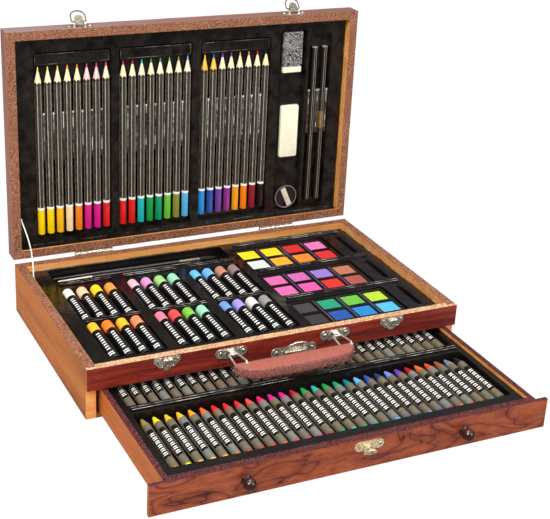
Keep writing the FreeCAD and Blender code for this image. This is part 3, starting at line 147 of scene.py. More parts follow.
class Look(Tree):
    """Material in the making, with its main shader."""

    def __init__(self, name, **inputs):
        self.mat = bpy.data.materials.new(name)
        super().__init__(self.mat)
        self.shader = self.nodes["Principled BSDF"]
        self.set(**inputs)

    def set(self, **inputs):
        self.feed(self.shader, {key.replace("_", " "): value for key, value in inputs.items()})

    def place(self, stretch=EVEN):
        """The object's own coordinates, each times its share of stretch."""
        coords = self.add("TexCoord").outputs["Object"]
        return self.add("Mapping", {"Vector": coords, "Scale": stretch}).outputs["Vector"]

    def noise(self, scale, detail=3, rough=0.55, distortion=0, stretch=EVEN):
        inputs = {"Vector": self.place(stretch), "Scale": scale, "Detail": detail, "Roughness": rough,
                  "Distortion": distortion}
        return self.add("TexNoise", inputs).outputs["Fac"]

    def multiply(self, a, b, fac=1):
        inputs = {"Factor": fac, "A": a, "B": b}
        return self.add("Mix", inputs, data_type="RGBA", blend_type="MULTIPLY").outputs["Result"]

    def between(self, fac, low, high):
        return self.add("MapRange", {"Value": fac, "To Min": low, "To Max": high}).outputs["Result"]

    def relief(self, height, strength, depth=0.0005):
        inputs = {"Height": height, "Strength": strength, "Distance": depth}
        self.set(Normal=self.add("Bump", inputs).outputs["Normal"])


# ---- kinds of material
WOOD_STRETCH = 0.06  # share of the cross scale that a pattern keeps along the grain
FIBRES_TO_BANDS = 22
GLARE_HALF = 0.19  # m, over which the lid edge's tone, with its painted glare at the left, runs to each side


def mottled(name, noise, tones, relief=None, **inputs):
    """Material whose tone, and relief if given, follow one noise; tones lists (position, colour)."""
    look = Look(name, **inputs)
    fac = look.noise(*noise)
    look.set(Base_Color=look.ramp(fac, tones))
    if relief:
        look.relief(fac, *relief)
    return look.mat


def varied(name, code, spread=0.12, scale=500, roughness=0.5, lumps=0, **inputs):
    """Plain material with a slight mottle of tone, and a fine relief where lumps is over 0."""
    tones = [(0.3, rgb(code, 1 - spread)), (0.7, rgb(code, 1 + spread))]
    return mottled(name, (scale,), tones, (lumps,) if lumps else None, Roughness=roughness, **inputs)


def wood(name, dark, light, along="X", scale=60, contrast=(0.35, 0.65), roughness=0.42, coat=0.08, fibre=0.5):
    """Straight-grained lacquered wood: stretched bands with fine fibres over them."""
    look = Look(name, Roughness=roughness, Coat_Weight=coat, Coat_Roughness=0.15, Specular_IOR_Level=0.25)
    stretch = [WOOD_STRETCH if axis == along else 1 for axis in "XYZ"]
    bands = look.noise(scale, 4, 0.6, 1.2, stretch)
    fibres = look.noise(scale * FIBRES_TO_BANDS, 3, 0.7, stretch=stretch)
    tone = look.ramp(bands, [(contrast[0], rgb(dark)), (contrast[1], rgb(light))])
    grain = look.ramp(fibres, [(0.35, grey(1 - fibre)), (0.6, WHITE)])
    look.set(Base_Color=look.multiply(tone, grain))
    look.relief(fibres, 0.12, 0.0002)
    return look.mat


def burl(name, base, vein, light, knots, lines):
    """Figured veneer: the contour lines of a slow noise draw oval knots, with fine pores over them."""
    look = Look(name, Roughness=0.34, Coat_Weight=0.1, Coat_Roughness=0.12, Specular_IOR_Level=0.3)
    slow = look.noise(knots, 2, 0.45, 0.9, (0.42, 1, 1))
    waves = look.add("Math", {0: slow, 1: lines}, operation="MULTIPLY").outputs[0]
    fold = look.add("Math", {0: waves, 1: 0.5}, operation="PINGPONG").outputs[0]
    figure = look.ramp(fold, [(0, rgb(vein)), (0.05, rgb(base, 0.8)), (0.2, rgb(base)), (0.5, rgb(light))])
    blotch = look.noise(60, 5, 0.65, 0.6, (0.3, 1, 1))
    tone = look.ramp(blotch, [(0.33, (0.66, 0.58, 0.54, 1)), (0.55, WHITE)])
    pores = look.noise(1500, 2, 0.7, stretch=(0.12, 1, 1))
    fleck = look.ramp(pores, [(0.36, (0.62, 0.52, 0.48, 1)), (0.52, WHITE)])
    look.set(Base_Color=look.multiply(look.multiply(figure, tone), fleck, 0.8))
    return look.mat


def speckled(name, dark, mid, light, scale=1000, roughness=0.7):
    """Cut edge of fibre board: coarse grains of three tones."""
    look = Look(name, Roughness=roughness, Specular_IOR_Level=0.2)
    grains = look.noise(scale, 2, 0.8)
    colour = look.ramp(grains, [(0.4, rgb(dark)), (0.5, rgb(mid)), (0.6, rgb(light))])
    tone = look.ramp(look.noise(60, 2), [(0.3, (0.8, 0.78, 0.76, 1)), (0.7, WHITE)])
    look.set(Base_Color=look.multiply(colour, tone))
    look.relief(grains, 0.3, 0.0003)
    return look.mat


def moulded(name, low, high, roughness=(0.06, 0.2), shine=0.36, mottle=30):
    """Glossy vacuum-formed sheet with a slight waviness that breaks up its reflections."""
    look = Look(name, Specular_IOR_Level=shine)
    waves = look.noise(75, 3, 0.6, 0.8)
    look.set(Base_Color=look.ramp(look.noise(mottle), [(0.3, rgb(low)), (0.8, rgb(high))]),
             Roughness=look.between(waves, *roughness))
    look.relief(waves, 0.35, 0.0012)
    return look.mat


def metal(name, dark, light, roughness=0.28, scale=420, metallic=0.65, relief=0.12):
    """Cast or drawn metal, unevenly worn."""
    look = Look(name, Metallic=metallic)
    wear = look.noise(scale, 4, 0.6)
    look.set(Base_Color=look.ramp(wear, [(0.3, rgb(dark)), (0.62, rgb(light))]),
             Roughness=look.between(wear, roughness * 0.7, roughness * 1.5))
    look.relief(wear, relief, 0.0004)
    return look.mat


def edge_with_painted_glare(name, left, middle, right):
    """Lacquered edge with fine fibres, whose tone runs from one end of the case to the other: from a pale
    greyish left end, a painted reflection of glare, to the wood's own brown at the right.
    """
    look = Look(name, Roughness=0.4, Coat_Weight=0.3, Coat_Roughness=0.2, Sheen_Weight=0.35,
                Sheen_Roughness=0.3, Sheen_Tint=(0.9, 0.88, 1, 1))
    across = look.add("SeparateXYZ", {"Vector": look.place()}).outputs["X"]
    along = look.add("MapRange", {"Value": across, "From Min": -GLARE_HALF, "From Max": GLARE_HALF})
    tone = look.ramp(along.outputs["Result"], [(0, rgb(left)), (0.45, rgb(middle)), (1, rgb(right))])
    fibres = look.noise(900, 3, 0.7, stretch=(WOOD_STRETCH, 1, 1))
    grain = look.ramp(fibres, [(0.35, (0.82, 0.8, 0.8, 1)), (0.6, WHITE)])
    look.set(Base_Color=look.multiply(tone, grain))
    return look.mat


def glinting(name, low, middle, high):
    """Painted highlight: a polished fold of a moulded sheet, painted as lit here and there along its run."""
    tones = [(0.4, rgb(low)), (0.5, rgb(middle)), (0.6, rgb(high))]
    return mottled(name, (55, 4, 0.7), tones, (0.3, 0.0004), Roughness=0.2)


def foil(name):
    """Crumpled clear film: pale creases over a dark bar."""
    tones = ((0.38, "0a0908"), (0.42, "dedcd6"), (0.455, "12110f"), (0.54, "191715"), (0.57, "e6e4de"),
             (0.61, "0c0b0a"))
    colours = [(position, rgb(code)) for position, code in tones]
    return mottled(name, (110, 3, 0.6, 3), colours, (0.9, 0.002), Roughness=0.15, Coat_Weight=1)


# ---- materials
SIDE_WOOD = wood("side_wood", "a0561f", "c8742c", "Y", 40, fibre=0.25)
LID_SIDE_WOOD = wood("lid_side_wood", "8c5646", "ab7560", "Z", 40, fibre=0.15)
INNER_WOOD = wood("inner_wood", "d48a42", "f0ac62", "X", 50, fibre=0.15)
BACK_WOOD = wood("back_wood", "7d4526", "a4643a", "X", 40, fibre=0.25)
RAIL_WOOD = wood("rail_wood", "541611", "9c3424", "X", 150, (0.32, 0.62), fibre=0.5)
DRAWER_SIDE = wood("drawer_side_wood", "a8541c", "c87030", "Y", 60, fibre=0.2)
BURL = burl("burl_veneer", "8a4128", "43190f", "9c4f2e", 30, 7)
# painted reflection: the pale greyish left end of the lid's front edge stands for glare on its lacquer
LID_EDGE = edge_with_painted_glare("lid_front_edge_painted_glare", "8f7673", "885649", "764428")
RIM = speckled("rim_board", "4a2a1c", "86523a", "bc8666")
FRONT_RIM = speckled("front_rim_board", "8a5a3c", "cb9c72", "ecc9a2")
DRAWER_RIM = speckled("drawer_rim_board", "22070b", "461a1e", "7c423e", 900)
TRAY = moulded("tray_sheet", "0a0a0c", "1e1813")
# painted highlight: lighter sheet on the trays' rounded edges, where they catch the light
TRAY_EDGE_HIGHLIGHT = moulded("tray_edge_highlight", "5c5c60", "b4b0aa", (0.1, 0.25))
# the lid tray's own near-black sheet, with lighter brown patches in its mottle that are painted reflection
LID_TRAY = moulded("lid_tray_sheet", "030303", "2c251f", shine=0.3, mottle=85)
# painted light: the tops of the cradles between the pencils are a lighter grey-brown, standing for their lit
# faces
COMB_TOP_PAINTED_LIGHT = moulded("tray_comb_painted_light", "221e1a", "544c42", (0.1, 0.3))
DRAWER_TRAY = moulded("drawer_tray_sheet", "08080a", "19140f", (0.2, 0.36), 0.2)
# painted highlights: tones of the bright lines and spots on the trays' beads, edges, plates and cradles
GLINT = glinting("tray_glint", "1a1918", "77736c", "dad7d0")
FAINT = glinting("tray_glint_faint", "14110f", "2e2a26", "6e6a64")
GLINT_SPOT = glinting("tray_glint_spot", "8a857c", "c8c4bc", "efece6")
NICKEL = metal("antique_nickel", "6a5e4a", "f8f1e0", 0.2, 520, 0.8, 0.22)
# darker metal on the plates' rounded edges and on the rims of screws and discs
DARK_EDGE_METAL = metal("dark_edge_metal", "241b12", "5e4d3a", 0.4, 620, 0.5)
DARK_NICKEL = metal("worn_nickel", "4a443a", "a89e8a", scale=620)
STEEL = metal("steel_wire", "7c7466", "d8d0be", 0.3)
BAIL_WIRE = metal("bail_wire", "34302a", "787064", 0.35)
BRASS = metal("brass_plate", "cda468", "fff0ca", 0.26)
# painted shade: dark bars on the screw heads stand for their recessed slots
SLOT_SHADE = varied("screw_slot_shade", "24201a", 0.3, 900, 0.7)
KNOB = wood("knob_wood", "240d07", "42180f", "Y", 90, roughness=0.18, coat=0.8, fibre=0.2)
LEATHER = varied("grip_leatherette", "9c574a", 0.3, 900, 0.7, 0.8, Specular_IOR_Level=0.2)
LEATHER_EDGE = speckled("grip_edge", "4a201c", "8a4640", "c28a7c", 1500, 0.75)
CORD_WHITE = varied("stay_cord_white", "e9e8e2", 0.08, 1800, 0.8, 0.4)
BARREL = varied("pencil_barrel", "37312a", 0.3, 260, 0.22, Coat_Weight=0.6)
# painted highlight: pale lines along the pencils' corners, where the lacquer catches the light
RIDGE_HIGHLIGHT = varied("pencil_ridge_highlight", "b4a998", 0.3, 180, 0.3)
RING_WHITE = varied("white_ring", "eceae4", 0.04, 400, 0.3)
CUT = {"along": "Z", "scale": 300, "roughness": 0.6, "coat": 0, "fibre": 0.12}
BARE_WOOD = wood("sharpened_wood", "ecd9a6", "f8efcc", **CUT)
ROSE_WOOD = wood("tinted_wood", "e8b9b4", "f2d0c8", **CUT)
GOLD_WOOD = wood("gold_wood", "e6b23a", "f2c95a", **CUT)
WRAP = varied("crayon_paper", "645a48", 0.16, 260, 0.55, 0.1)
WRAP_GREY = varied("crayon_paper_grey", "6c6d64", 0.14, 260, 0.55, 0.1)
WRAP_PANEL = varied("crayon_panel", "0b0906", 0.2, 500, 0.45, Specular_IOR_Level=0.2)
PRINT = varied("plain_print", "efece4", 0.05, 600)
SLEEVE = varied("pastel_sleeve", "0a0a0b", 0.3, 400, 0.35, Specular_IOR_Level=0.3)
# painted highlight: the ribs between a palette's pans are bluish, standing for their glossy tops catching the
# light
RIB_HIGHLIGHT = varied("palette_rib_highlight", "6a6a94", 0.2, 400, 0.2)
BRUSH_PAINT = varied("brush_handle", "26211f", 0.3, 200, 0.2, Coat_Weight=0.8)
BRUSH_END = varied("brush_handle_tip", "d8cfba", 0.1, 200, 0.35)
BRISTLE = wood("bristle", "17120e", "4a3c2e", "X", 900, roughness=0.8, coat=0, fibre=0.5)
ERASER = varied("eraser_rubber", "e9e2c4", 0.05, 160, 0.75, 0.4)
FOIL = foil("clear_wrap")
STICK = varied("drawing_stick", "1d1814", 0.3, 240, 0.22, Coat_Weight=0.6)
# painted highlight: pale lines along the drawing sticks where their lit side catches the light
STICK_HIGHLIGHT = varied("stick_highlight", "84796a", 0.3, 240, 0.4)
STICK_END = varied("stick_end", "8f897e", 0.1, 240, 0.4)
# painted reflection: a gold tint on part of the right drawing stick
STICK_GOLD_REFLECTION = varied("stick_gold_reflection", "94722c", 0.25, 300, 0.3, Metallic=0.5)
SHARP_BODY = varied("sharpener_plastic", "1a1415", 0.25, 300, 0.25, 0.1)
SHARP_RIM = varied("sharpener_rim_plastic", "8a8178", 0.3, 300, 0.25)
BLADE = metal("sharpener_blade_steel", "c8b8a0", "f8ecd6", 0.35, 700, 0.3)

PIGMENTS = dict(pair.split() for pair in """
    lemon f4d60a, yellow f7cf10, gold f5b71c, amber f3a01e, mango ef9440, cream f6d9a8, ivory efe9d8,
    bone ddd8cc, chalk d0d6ca, peach f7c79a, orange f07d1c, tangerine ec5f1f, melon f58a5c, coral e8483c,
    strawberry e84848, scarlet c8201c, red d9221e, dark_red a4161c, crimson b81432, wine 8a1730,
    rust c4501e, oxide 9c463e, brown 9a4a2c, clay ac684a, toffee c48466, ochre 9a7a2c, rose e0225e,
    rose_pink ee7e90, blush f4bcc4, pink ee6fae, hot_pink e04e98, fuchsia de5e9c, petal d25e9c,
    heather bc5c9c, magenta d81b84, pink_orchid de90c8, plum 8f2c86, violet 6a3fa0, iris 8c6cb4,
    wisteria 9c92d8, periwinkle 6f86d6, denim 6e96d2, navy 26336f, royal 0a4890, blue 1f5fae,
    cobalt 2450a4, azure 0c78b8, cerulean 1f8ed0, aqua 48a8d0, sky 5ab4e6, pale_sky 64bee6,
    bluebell 6eb0ea, turquoise 1fb6b0, teal 0e7a80, jade 0c8c68, sea_green 0f9a6a, green 1c9a46,
    fern 5ea834, leaf 6cbf3a, leaf_light 74c040, pistachio 9ed47c, spearmint 98d8b8, pear a6c424,
    olive 8a8a34, dusk 927478, slate 6f7f8c, ash 8e8e88, charcoal 343034, ink 262228, black 161617
""".split(","))
PIGMENT_KINDS = {
    "wax": {"spread": 0.1, "scale": 700, "roughness": 0.45, "lumps": 0.15},
    "lacquer": {"spread": 0.05, "scale": 300, "roughness": 0.2, "Coat_Weight": 0.5},
    "cake": {"spread": 0.09, "scale": 260, "roughness": 0.7, "lumps": 0.35},
}
PIGMENT_LOOKS = {}


def pigment(kind, name):
    """Wax, lacquer or cake of a named colour, made once."""
    key = kind + "_" + name
    if key not in PIGMENT_LOOKS:
        PIGMENT_LOOKS[key] = varied(key, PIGMENTS[name], **PIGMENT_KINDS[kind])
    return PIGMENT_LOOKS[key]


# ---- solids that are shown as they are
BEVEL_ANGLE = 32
COMB_LEVEL = 63.5  # of the lid tray's cradles


def paint(node, *rules, width=0.4, segments=2, edge=None):
    """Each rule is (material, test of a face's normal and centre in mm or None for the rest of the faces);
    edge is the rounded edges' material."""
    obj = NODES[node]
    obj.data.materials.clear()
    for mat in [mat for mat, _ in rules] + ([edge] if edge else []):
        obj.data.materials.append(mat)
    for poly in obj.data.polygons:
        poly.use_smooth = True
        for i, (_, test) in enumerate(rules):
            if test is None or test(poly.normal, poly.center / MM):
                poly.material_index = i
                break
    mod = obj.modifiers.new("edge", "BEVEL")
    mod.width = width * MM
    mod.segments = segments
    mod.limit_method = "ANGLE"
    mod.angle_limit = radians(BEVEL_ANGLE)
    mod.use_clamp_overlap = True
    mod.harden_normals = True
    mod.material = len(rules) if edge else -1


def facing(direction, least=0.9):
    """Test of a face that looks in about that direction."""
    return lambda normal, centre: normal.dot(direction) > least


def sideways(normal, centre):
    return abs(normal.x) > 0.9


def on_level(level):
    """Test of a face that looks up from a level."""
    return lambda normal, centre: normal.z > 0.9 and abs(centre.z - level) < 0.05


def on_lid_level(level, within):
    """Test of a face that looks out of the open lid; its level is the one with the lid shut."""
    return lambda normal, centre: normal.y < -0.9 and abs((SHUT @ (centre * MM)).z / MM - level) < within


def lid_panel_edge(normal, centre):
    return abs(normal.x) > 0.5 or abs(normal.z) > 0.5


UP, AHEAD = facing(Z), facing(-Y)
COMB_FACE = on_lid_level(COMB_LEVEL, 0.2)
for side, name in ((-1, "left_side_panel"), (1, "right_side_panel")):
    paint(name, (RIM, UP), (SIDE_WOOD, facing(X * side, 0.5)), (INNER_WOOD, None))
paint("back_panel", (RIM, UP), (INNER_WOOD, AHEAD), (BACK_WOOD, None))
paint("front_rail", (FRONT_RIM, UP), (RAIL_WOOD, AHEAD), (SIDE_WOOD, sideways), (INNER_WOOD, None))
for name in ("bottom_panel", "drawer_shelf", "drawer_stop_batten", "drawer_guide_batten", "drawer_bottom"):
    paint(name, (BACK_WOOD, None), width=0.2)
paint("drawer_front", (DRAWER_RIM, UP), (SIDE_WOOD, sideways), (BURL, None), width=0.3)
paint("drawer_box_front", (DRAWER_RIM, UP), (INNER_WOOD, None), width=0.3)
paint("drawer_box_back", (DRAWER_RIM, UP), (DRAWER_SIDE, None), width=0.3)
for side, name in ((-1, "drawer_box_left"), (1, "drawer_box_right")):
    paint(name, (DRAWER_RIM, UP), (DRAWER_SIDE, facing(X * side, 0.5)), (INNER_WOOD, None), width=0.3)
for name, inward, outer in (("lid_front_rail", -Z, LID_EDGE), ("lid_back_rail", Z, LID_SIDE_WOOD),
                            ("lid_left_rail", X, LID_SIDE_WOOD), ("lid_right_rail", -X, LID_SIDE_WOOD)):
    paint(name, (RIM, AHEAD), (INNER_WOOD, facing(inward, 0.8)), (outer, None), width=0.3)
paint("lid_panel", (INNER_WOOD, AHEAD), (LID_SIDE_WOOD, lid_panel_edge), (BACK_WOOD, None))
# the rounded edges of these trays, and of the drawer's and lid's trays below, get the painted highlight
for name in ("base_tray", "palette_front", "palette_middle", "palette_back"):
    paint(name, (TRAY, None), width=0.45, edge=TRAY_EDGE_HIGHLIGHT)
paint("drawer_tray", (DRAWER_TRAY, None), width=0.45, edge=TRAY_EDGE_HIGHLIGHT)
# the cradles' tops get the painted light tone
paint("lid_tray", (COMB_TOP_PAINTED_LIGHT, COMB_FACE), (LID_TRAY, None), width=0.45, edge=TRAY_EDGE_HIGHLIGHT)
# where an edge material is given, the plates' rounded edges take it
for mat, width, edge, names in (
    (NICKEL, 0.15, None, "hinge_leaves_base hinge_leaves_lid hinge_pins latch_pins latch_keepers"),
    (NICKEL, 0.3, DARK_EDGE_METAL, "latch_plates handle_brackets hasp_plate catch_turn"),
    (DARK_NICKEL, 0.15, None, "left_latch_lever right_latch_lever"),
    (BRASS, 0.2, None, "catch_plate"),
    (BLADE, 0.12, None, "sharpener_blade"),
):
    for name in names.split():
        paint(name, (mat, None), width=width, edge=edge)
paint("sharpener_body", (SHARP_BODY, None), width=0.5, segments=3)


# ---- mesh tools, in mm
WELD = 1e5  # steps per metre by which two corners count as one


class Shape:
    """Collects rings of points into one mesh with several materials."""

    def __init__(self):
        self.verts, self.faces, self.slots, self.mats = [], [], [], []

    def slot(self, mat):
        if mat not in self.mats:
            self.mats.append(mat)
        return self.mats.index(mat)

    def rings(self, rings, mats, caps=(True, True)):
        """mats has one material per band between the closed rings, or is a single one for all."""
        base = len(self.verts)
        count = len(rings[0])
        for ring in rings:
            self.verts.extend(ring)
        bands = mats if isinstance(mats, (list, tuple)) else [mats] * (len(rings) - 1)
        for r, mat in enumerate(bands):
            slot = self.slot(mat)
            for i in range(count):
                a = base + r * count + i
                b = base + r * count + (i + 1) % count
                self.faces.append((a, b, b + count, a + count))
                self.slots.append(slot)
        last = base + (len(rings) - 1) * count
        ends = (range(base + count - 1, base - 1, -1), bands[0]), (range(last, last + count), bands[-1])
        for cap, (face, mat) in zip(caps, ends):
            if cap:
                self.faces.append(tuple(face))
                self.slots.append(self.slot(mat))

    def plate(self, points, down, mat):
        """Closed plate from a face's points, thickened away from the viewer of that face."""
        self.rings([[p + down for p in points], points], mat)

    def build(self, name, body, nodes=(), place=HERE, sharp=35):
        """Piece that rides on a body and stands for nodes; sharp is the angle from which an edge shows."""
        mesh = bpy.data.meshes.new(name)
        mesh.from_pydata([tuple(place @ (Vector(v) * MM)) for v in self.verts], [], self.faces)
        for mat in self.mats:
            mesh.materials.append(mat)
        for poly, slot in zip(mesh.polygons, self.slots):
            poly.material_index = slot
            poly.use_smooth = True
        mesh.validate()
        mesh.update()
        obj = bpy.data.objects.new(name, mesh)
        bpy.context.scene.collection.objects.link(obj)
        mesh.set_sharp_from_angle(angle=radians(sharp))
        if body:
            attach(obj, body)
        if nodes:
            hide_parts(*nodes)
        return obj


def islands(node, inverse=HERE, test=None):
    """Boxes of a node's separate solids, or of its faces that pass a test, from left to right."""
    mesh = NODES[node].data
    welded = {}
    parent = []

    def find(i):
        while parent[i] != i:
            parent[i] = parent[parent[i]]
            i = parent[i]
        return i

    ids = []
    for v in mesh.vertices:
        key = tuple(round(c * WELD) for c in v.co)
        if key not in welded:
            welded[key] = len(parent)
            parent.append(len(parent))
        ids.append(welded[key])
    used = set()
    for poly in mesh.polygons:
        if test and not test(poly.normal, poly.center / MM):
            continue
        first = find(ids[poly.vertices[0]])
        used.update(poly.vertices)
        for other in poly.vertices[1:]:
            parent[find(ids[other])] = first
    boxes = {}
    for index in sorted(used):
        p = inverse @ mesh.vertices[index].co / MM
        lo, hi = boxes.setdefault(find(ids[index]), ([inf] * 3, [-inf] * 3))
        for a in range(3):
            lo[a], hi[a] = min(lo[a], p[a]), max(hi[a], p[a])
    return left_to_right((Vector(lo), Vector(hi)) for lo, hi in boxes.values())


def left_to_right(boxes):
    return sorted(boxes, key=lambda b: b[0].x)


def arc(centre, u, v, radius, start, end, steps):
    """Points from start to end in degrees, from u towards v."""
    turns = [radians(start + (end - start) * k / steps) for k in range(steps + 1)]
    return [centre + (u * cos(t) + v * sin(t)) * radius for t in turns]


def circle(centre, u, v, radius, count):
    return arc(centre, u, v, radius, 0, 360, count)[:-1]


def lathe(shape, origin, axis, u, profile, mats, count=24, caps=(True, True)):
    """profile lists (distance along the axis, radius)."""
    v = axis.cross(u)
    shape.rings([circle(Vector(origin) + axis * s, u, v, r, count) for s, r in profile], mats, caps)


def tube(shape, points, radius, mat, count):
    """Round tube through the points; the section turns as little as possible on the way."""
    rings = []
    normal = None
    for i, p in enumerate(points):
        ahead = points[min(i + 1, len(points) - 1)] - points[max(i - 1, 0)]
        ahead.normalize()
        if normal is None:
            normal = ahead.orthogonal().normalized()
        normal = (normal - ahead * normal.dot(ahead)).normalized()
        rings.append(circle(p, normal, ahead.cross(normal), radius, count))
    shape.rings(rings, mat)


def rounded_rectangle(lo, hi, inset, r, z, steps=4):
    """Ring of points at a level, inside the sides of a box by the inset."""
    x0, x1, y0, y1 = lo.x + inset + r, hi.x - inset - r, lo.y + inset + r, hi.y - inset - r
    points = []
    for q, (x, y) in enumerate(((x1, y1), (x0, y1), (x0, y0), (x1, y0))):
        points += arc(Vector((x, y, z)), X, Y, r, 90 * q, 90 * (q + 1), steps)
    return points


def slab(shape, lo, hi, mat, edge=1, corner=1.6):
    """Bar with soft edges between two corners."""
    lo, hi = Vector(lo), Vector(hi)
    levels = ((edge, lo.z), (edge * 0.3, lo.z + edge * 0.3), (0, lo.z + edge),
              (0, hi.z - edge), (edge * 0.3, hi.z - edge * 0.3), (edge, hi.z))
    shape.rings([rounded_rectangle(lo, hi, inset, corner, z) for inset, z in levels], mat)


# ---- painted highlight lines on the trays
HIGHLIGHT_INSET = 0.5  # from a bead's edge to its painted highlight line
HIGHLIGHT_WIDTH = 0.5
HIGHLIGHT_LIFT = 0.05
HIGHLIGHT_DEPTH = 0.15
DRAWER_BEAD_LEVEL = 28
BASE_BEAD_LEVEL = 47.9
BASE_TRAY_LEVEL = 46.3
LID_TRAY_LEVEL = 61.9
LID_PLATE_LEVEL = 63.1
LIP_LEVEL = 54.3  # edge of the lip by which the lid's tray covers the wall over the hinges
LIP_INSET = 0.6
LIP_DEPTH = 0.4
GLINT_SPOT_START, GLINT_SPOT_END = 0.2, 2.2  # of the painted glint spot, from a cradle's front
STREAK_START, STREAK_END = 2.6, 6  # of the painted highlight streak, from a cradle's front and from its back
STREAK_HALF = 0.35


def level_strip(shape, x0, x1, y0, y1, z, up, mat):
    """Thin bead of painted highlight on a level face that looks up (1) or down (-1)."""
    corners = [(x0, y0), (x1, y0), (x1, y1), (x0, y1)]
    if up < 0:
        corners.reverse()
    shape.plate([Vector((x, y, z + up * HIGHLIGHT_LIFT)) for x, y in corners], Z * (-up * HIGHLIGHT_DEPTH), mat)


def highlight_lines(shape, lo, hi, z, up, mat, ends=False):
    """Thin painted highlight lines inside the edges of a level face: front and back, and with ends also left
    and right.
    """
    x0, x1, y0, y1 = lo.x + HIGHLIGHT_INSET, hi.x - HIGHLIGHT_INSET, lo.y + HIGHLIGHT_INSET, hi.y - HIGHLIGHT_INSET
    level_strip(shape, x0, x1, y0, y0 + HIGHLIGHT_WIDTH, z, up, mat)
    level_strip(shape, x0, x1, y1 - HIGHLIGHT_WIDTH, y1, z, up, mat)
    if ends:
        level_strip(shape, x0, x0 + HIGHLIGHT_WIDTH, y0, y1, z, up, mat)
        level_strip(shape, x1 - HIGHLIGHT_WIDTH, x1, y0, y1, z, up, mat)


def tray_glint_lines():
    # painted highlight lines inside the edges of the beads' tops and of the base tray's top
    beads = (("drawer_tray", "drawer", DRAWER_BEAD_LEVEL), ("base_tray", "case", BASE_BEAD_LEVEL))
    for node, body, level in beads:
        shape = Shape()
        for lo, hi in islands(node, HERE, on_level(level)):
            highlight_lines(shape, lo, hi, level, 1, GLINT)
        shape.build(node + "_glint_lines", body)
    shape = Shape()
    lo, hi = islands("base_tray")[0]
    highlight_lines(shape, lo, hi, BASE_TRAY_LEVEL, 1, GLINT, True)
    shape.build("base_tray_rim_glints", "case")


def lid_tray_glint_lines():
    """Painted highlight lines inside the outer edge and round the embossed plates, painted glint spots and
    highlight streaks on the cradles, and the lip.
    """
    shape = Shape()
    lo, hi = islands("lid_tray", SHUT)[0]
    highlight_lines(shape, lo, hi, LID_TRAY_LEVEL, -1, FAINT, True)
    lip = (lo.x + LIP_INSET, hi.y - LIP_DEPTH, LIP_LEVEL), (hi.x - LIP_INSET, hi.y, LID_TRAY_LEVEL + 0.1)
    slab(shape, *lip, LID_TRAY, 0.1, 0.15)
    for lo, hi in islands("lid_tray", SHUT, on_lid_level(LID_PLATE_LEVEL, 0.05)):
        highlight_lines(shape, lo, hi, LID_PLATE_LEVEL, -1, FAINT, True)
    # a painted glint spot at each cradle's front, and a painted highlight streak down its middle
    for lo, hi in islands("lid_tray", SHUT, COMB_FACE):
        middle = (lo.x + hi.x) / 2
        glint_spot = lo.x + 0.2, hi.x - 0.2, lo.y + GLINT_SPOT_START, lo.y + GLINT_SPOT_END
        streak = middle - STREAK_HALF, middle + STREAK_HALF, lo.y + STREAK_START, hi.y - STREAK_END
        level_strip(shape, *glint_spot, COMB_LEVEL, -1, GLINT_SPOT)
        level_strip(shape, *streak, COMB_LEVEL, -1, GLINT)
    shape.build("lid_tray_glint_lines", "lid", (), OPEN)


tray_glint_lines()
lid_tray_glint_lines()


# ---- sleeves and their plain bars
BAND_SUNK = 0.06  # of a band into its sleeve
LABEL_TURN = -0.42  # the labels face a little to the left
LABEL_TEETH = 16
TOOTH_TIP, TOOTH_ROOT = 0.95, 0.72  # half turns of a label, in radians


def lying(box, play):
    """Axis (x, z), front end, length and radius of a stick along Y that fills its box but for the play."""
    lo, hi = box
    return (lo.x + hi.x) / 2, (lo.z + hi.z) / 2, lo.y, hi.y - lo.y, (hi.x - lo.x) / 2 - play


def sleeve_point(x, z, r):
    """Points on a round sleeve by turn about its axis, place along it and lift off it."""
    def at(turn, y, lift):
        return Vector((x + (r + lift) * sin(turn), y, z + (r + lift) * cos(turn)))
    return at


def sleeve_band(shape, at, ys, spans, lift, mat, cells):
    """Thin band let into a sleeve a little: spans gives its first and last turn at each of ys."""
    rings = []
    for y, (first, last) in zip(ys, spans):
        turns = [first + (last - first) * k / cells for k in range(cells + 1)]
        rings.append([at(t, y, lift) for t in turns] + [at(t, y, -BAND_SUNK) for t in reversed(turns)])
    shape.rings(rings, mat)


def plain_bars(shape, at, start, end, pitch, bars, length, half_turn):
    """Groups of plain bars across a sleeve, where the real one is printed."""
    spans = [(LABEL_TURN - half_turn, LABEL_TURN + half_turn)] * 2
    while start + length < end:
        for k in range(bars):
            y = start + length * (k + 0.2) / bars
            sleeve_band(shape, at, (y, y + length * 0.5 / bars), spans, 0.07, PRINT, 4)
        start += pitch


def label(shape, at, low, high):
    """Dark panel with toothed edges along a round sleeve."""
    ys = [low + (high - low) * k / LABEL_TEETH for k in range(LABEL_TEETH + 1)]
    halves = [TOOTH_TIP if k % 2 else TOOTH_ROOT for k in range(LABEL_TEETH + 1)]
    sleeve_band(shape, at, ys, [(LABEL_TURN - h, LABEL_TURN + h) for h in halves], 0.04, WRAP_PANEL, 10)


# ---- coloured pencils
LEADS = """yellow yellow gold amber orange magenta magenta coral
           red crimson turquoise green sea_green leaf olive sky
           gold blue violet plum amber orange crimson black""".split()
DIPS = """yellow yellow gold cream orange magenta magenta red
          red red turquoise green sea_green leaf olive sky
          cerulean cobalt violet plum amber orange wine black""".split()
TINTED = {5: ROSE_WOOD, 6: ROSE_WOOD, 16: GOLD_WOOD, 17: GOLD_WOOD}  # the other pencils have plain wood
PENCIL_STEPS = 36
BLUNTING = 0.985  # of the barrel's corners
CONE = 17.5  # length over which a pencil is sharpened
LEAD = 4.2
DIP = 27.2  # length of the dipped end
RING = 2.8  # of the white ring before it
RIDGE_TURN = 4.2  # half width in degrees of the painted highlight line on a corner
RIDGE_LIFT = 0.03
RIDGE_SUNK = 0.3


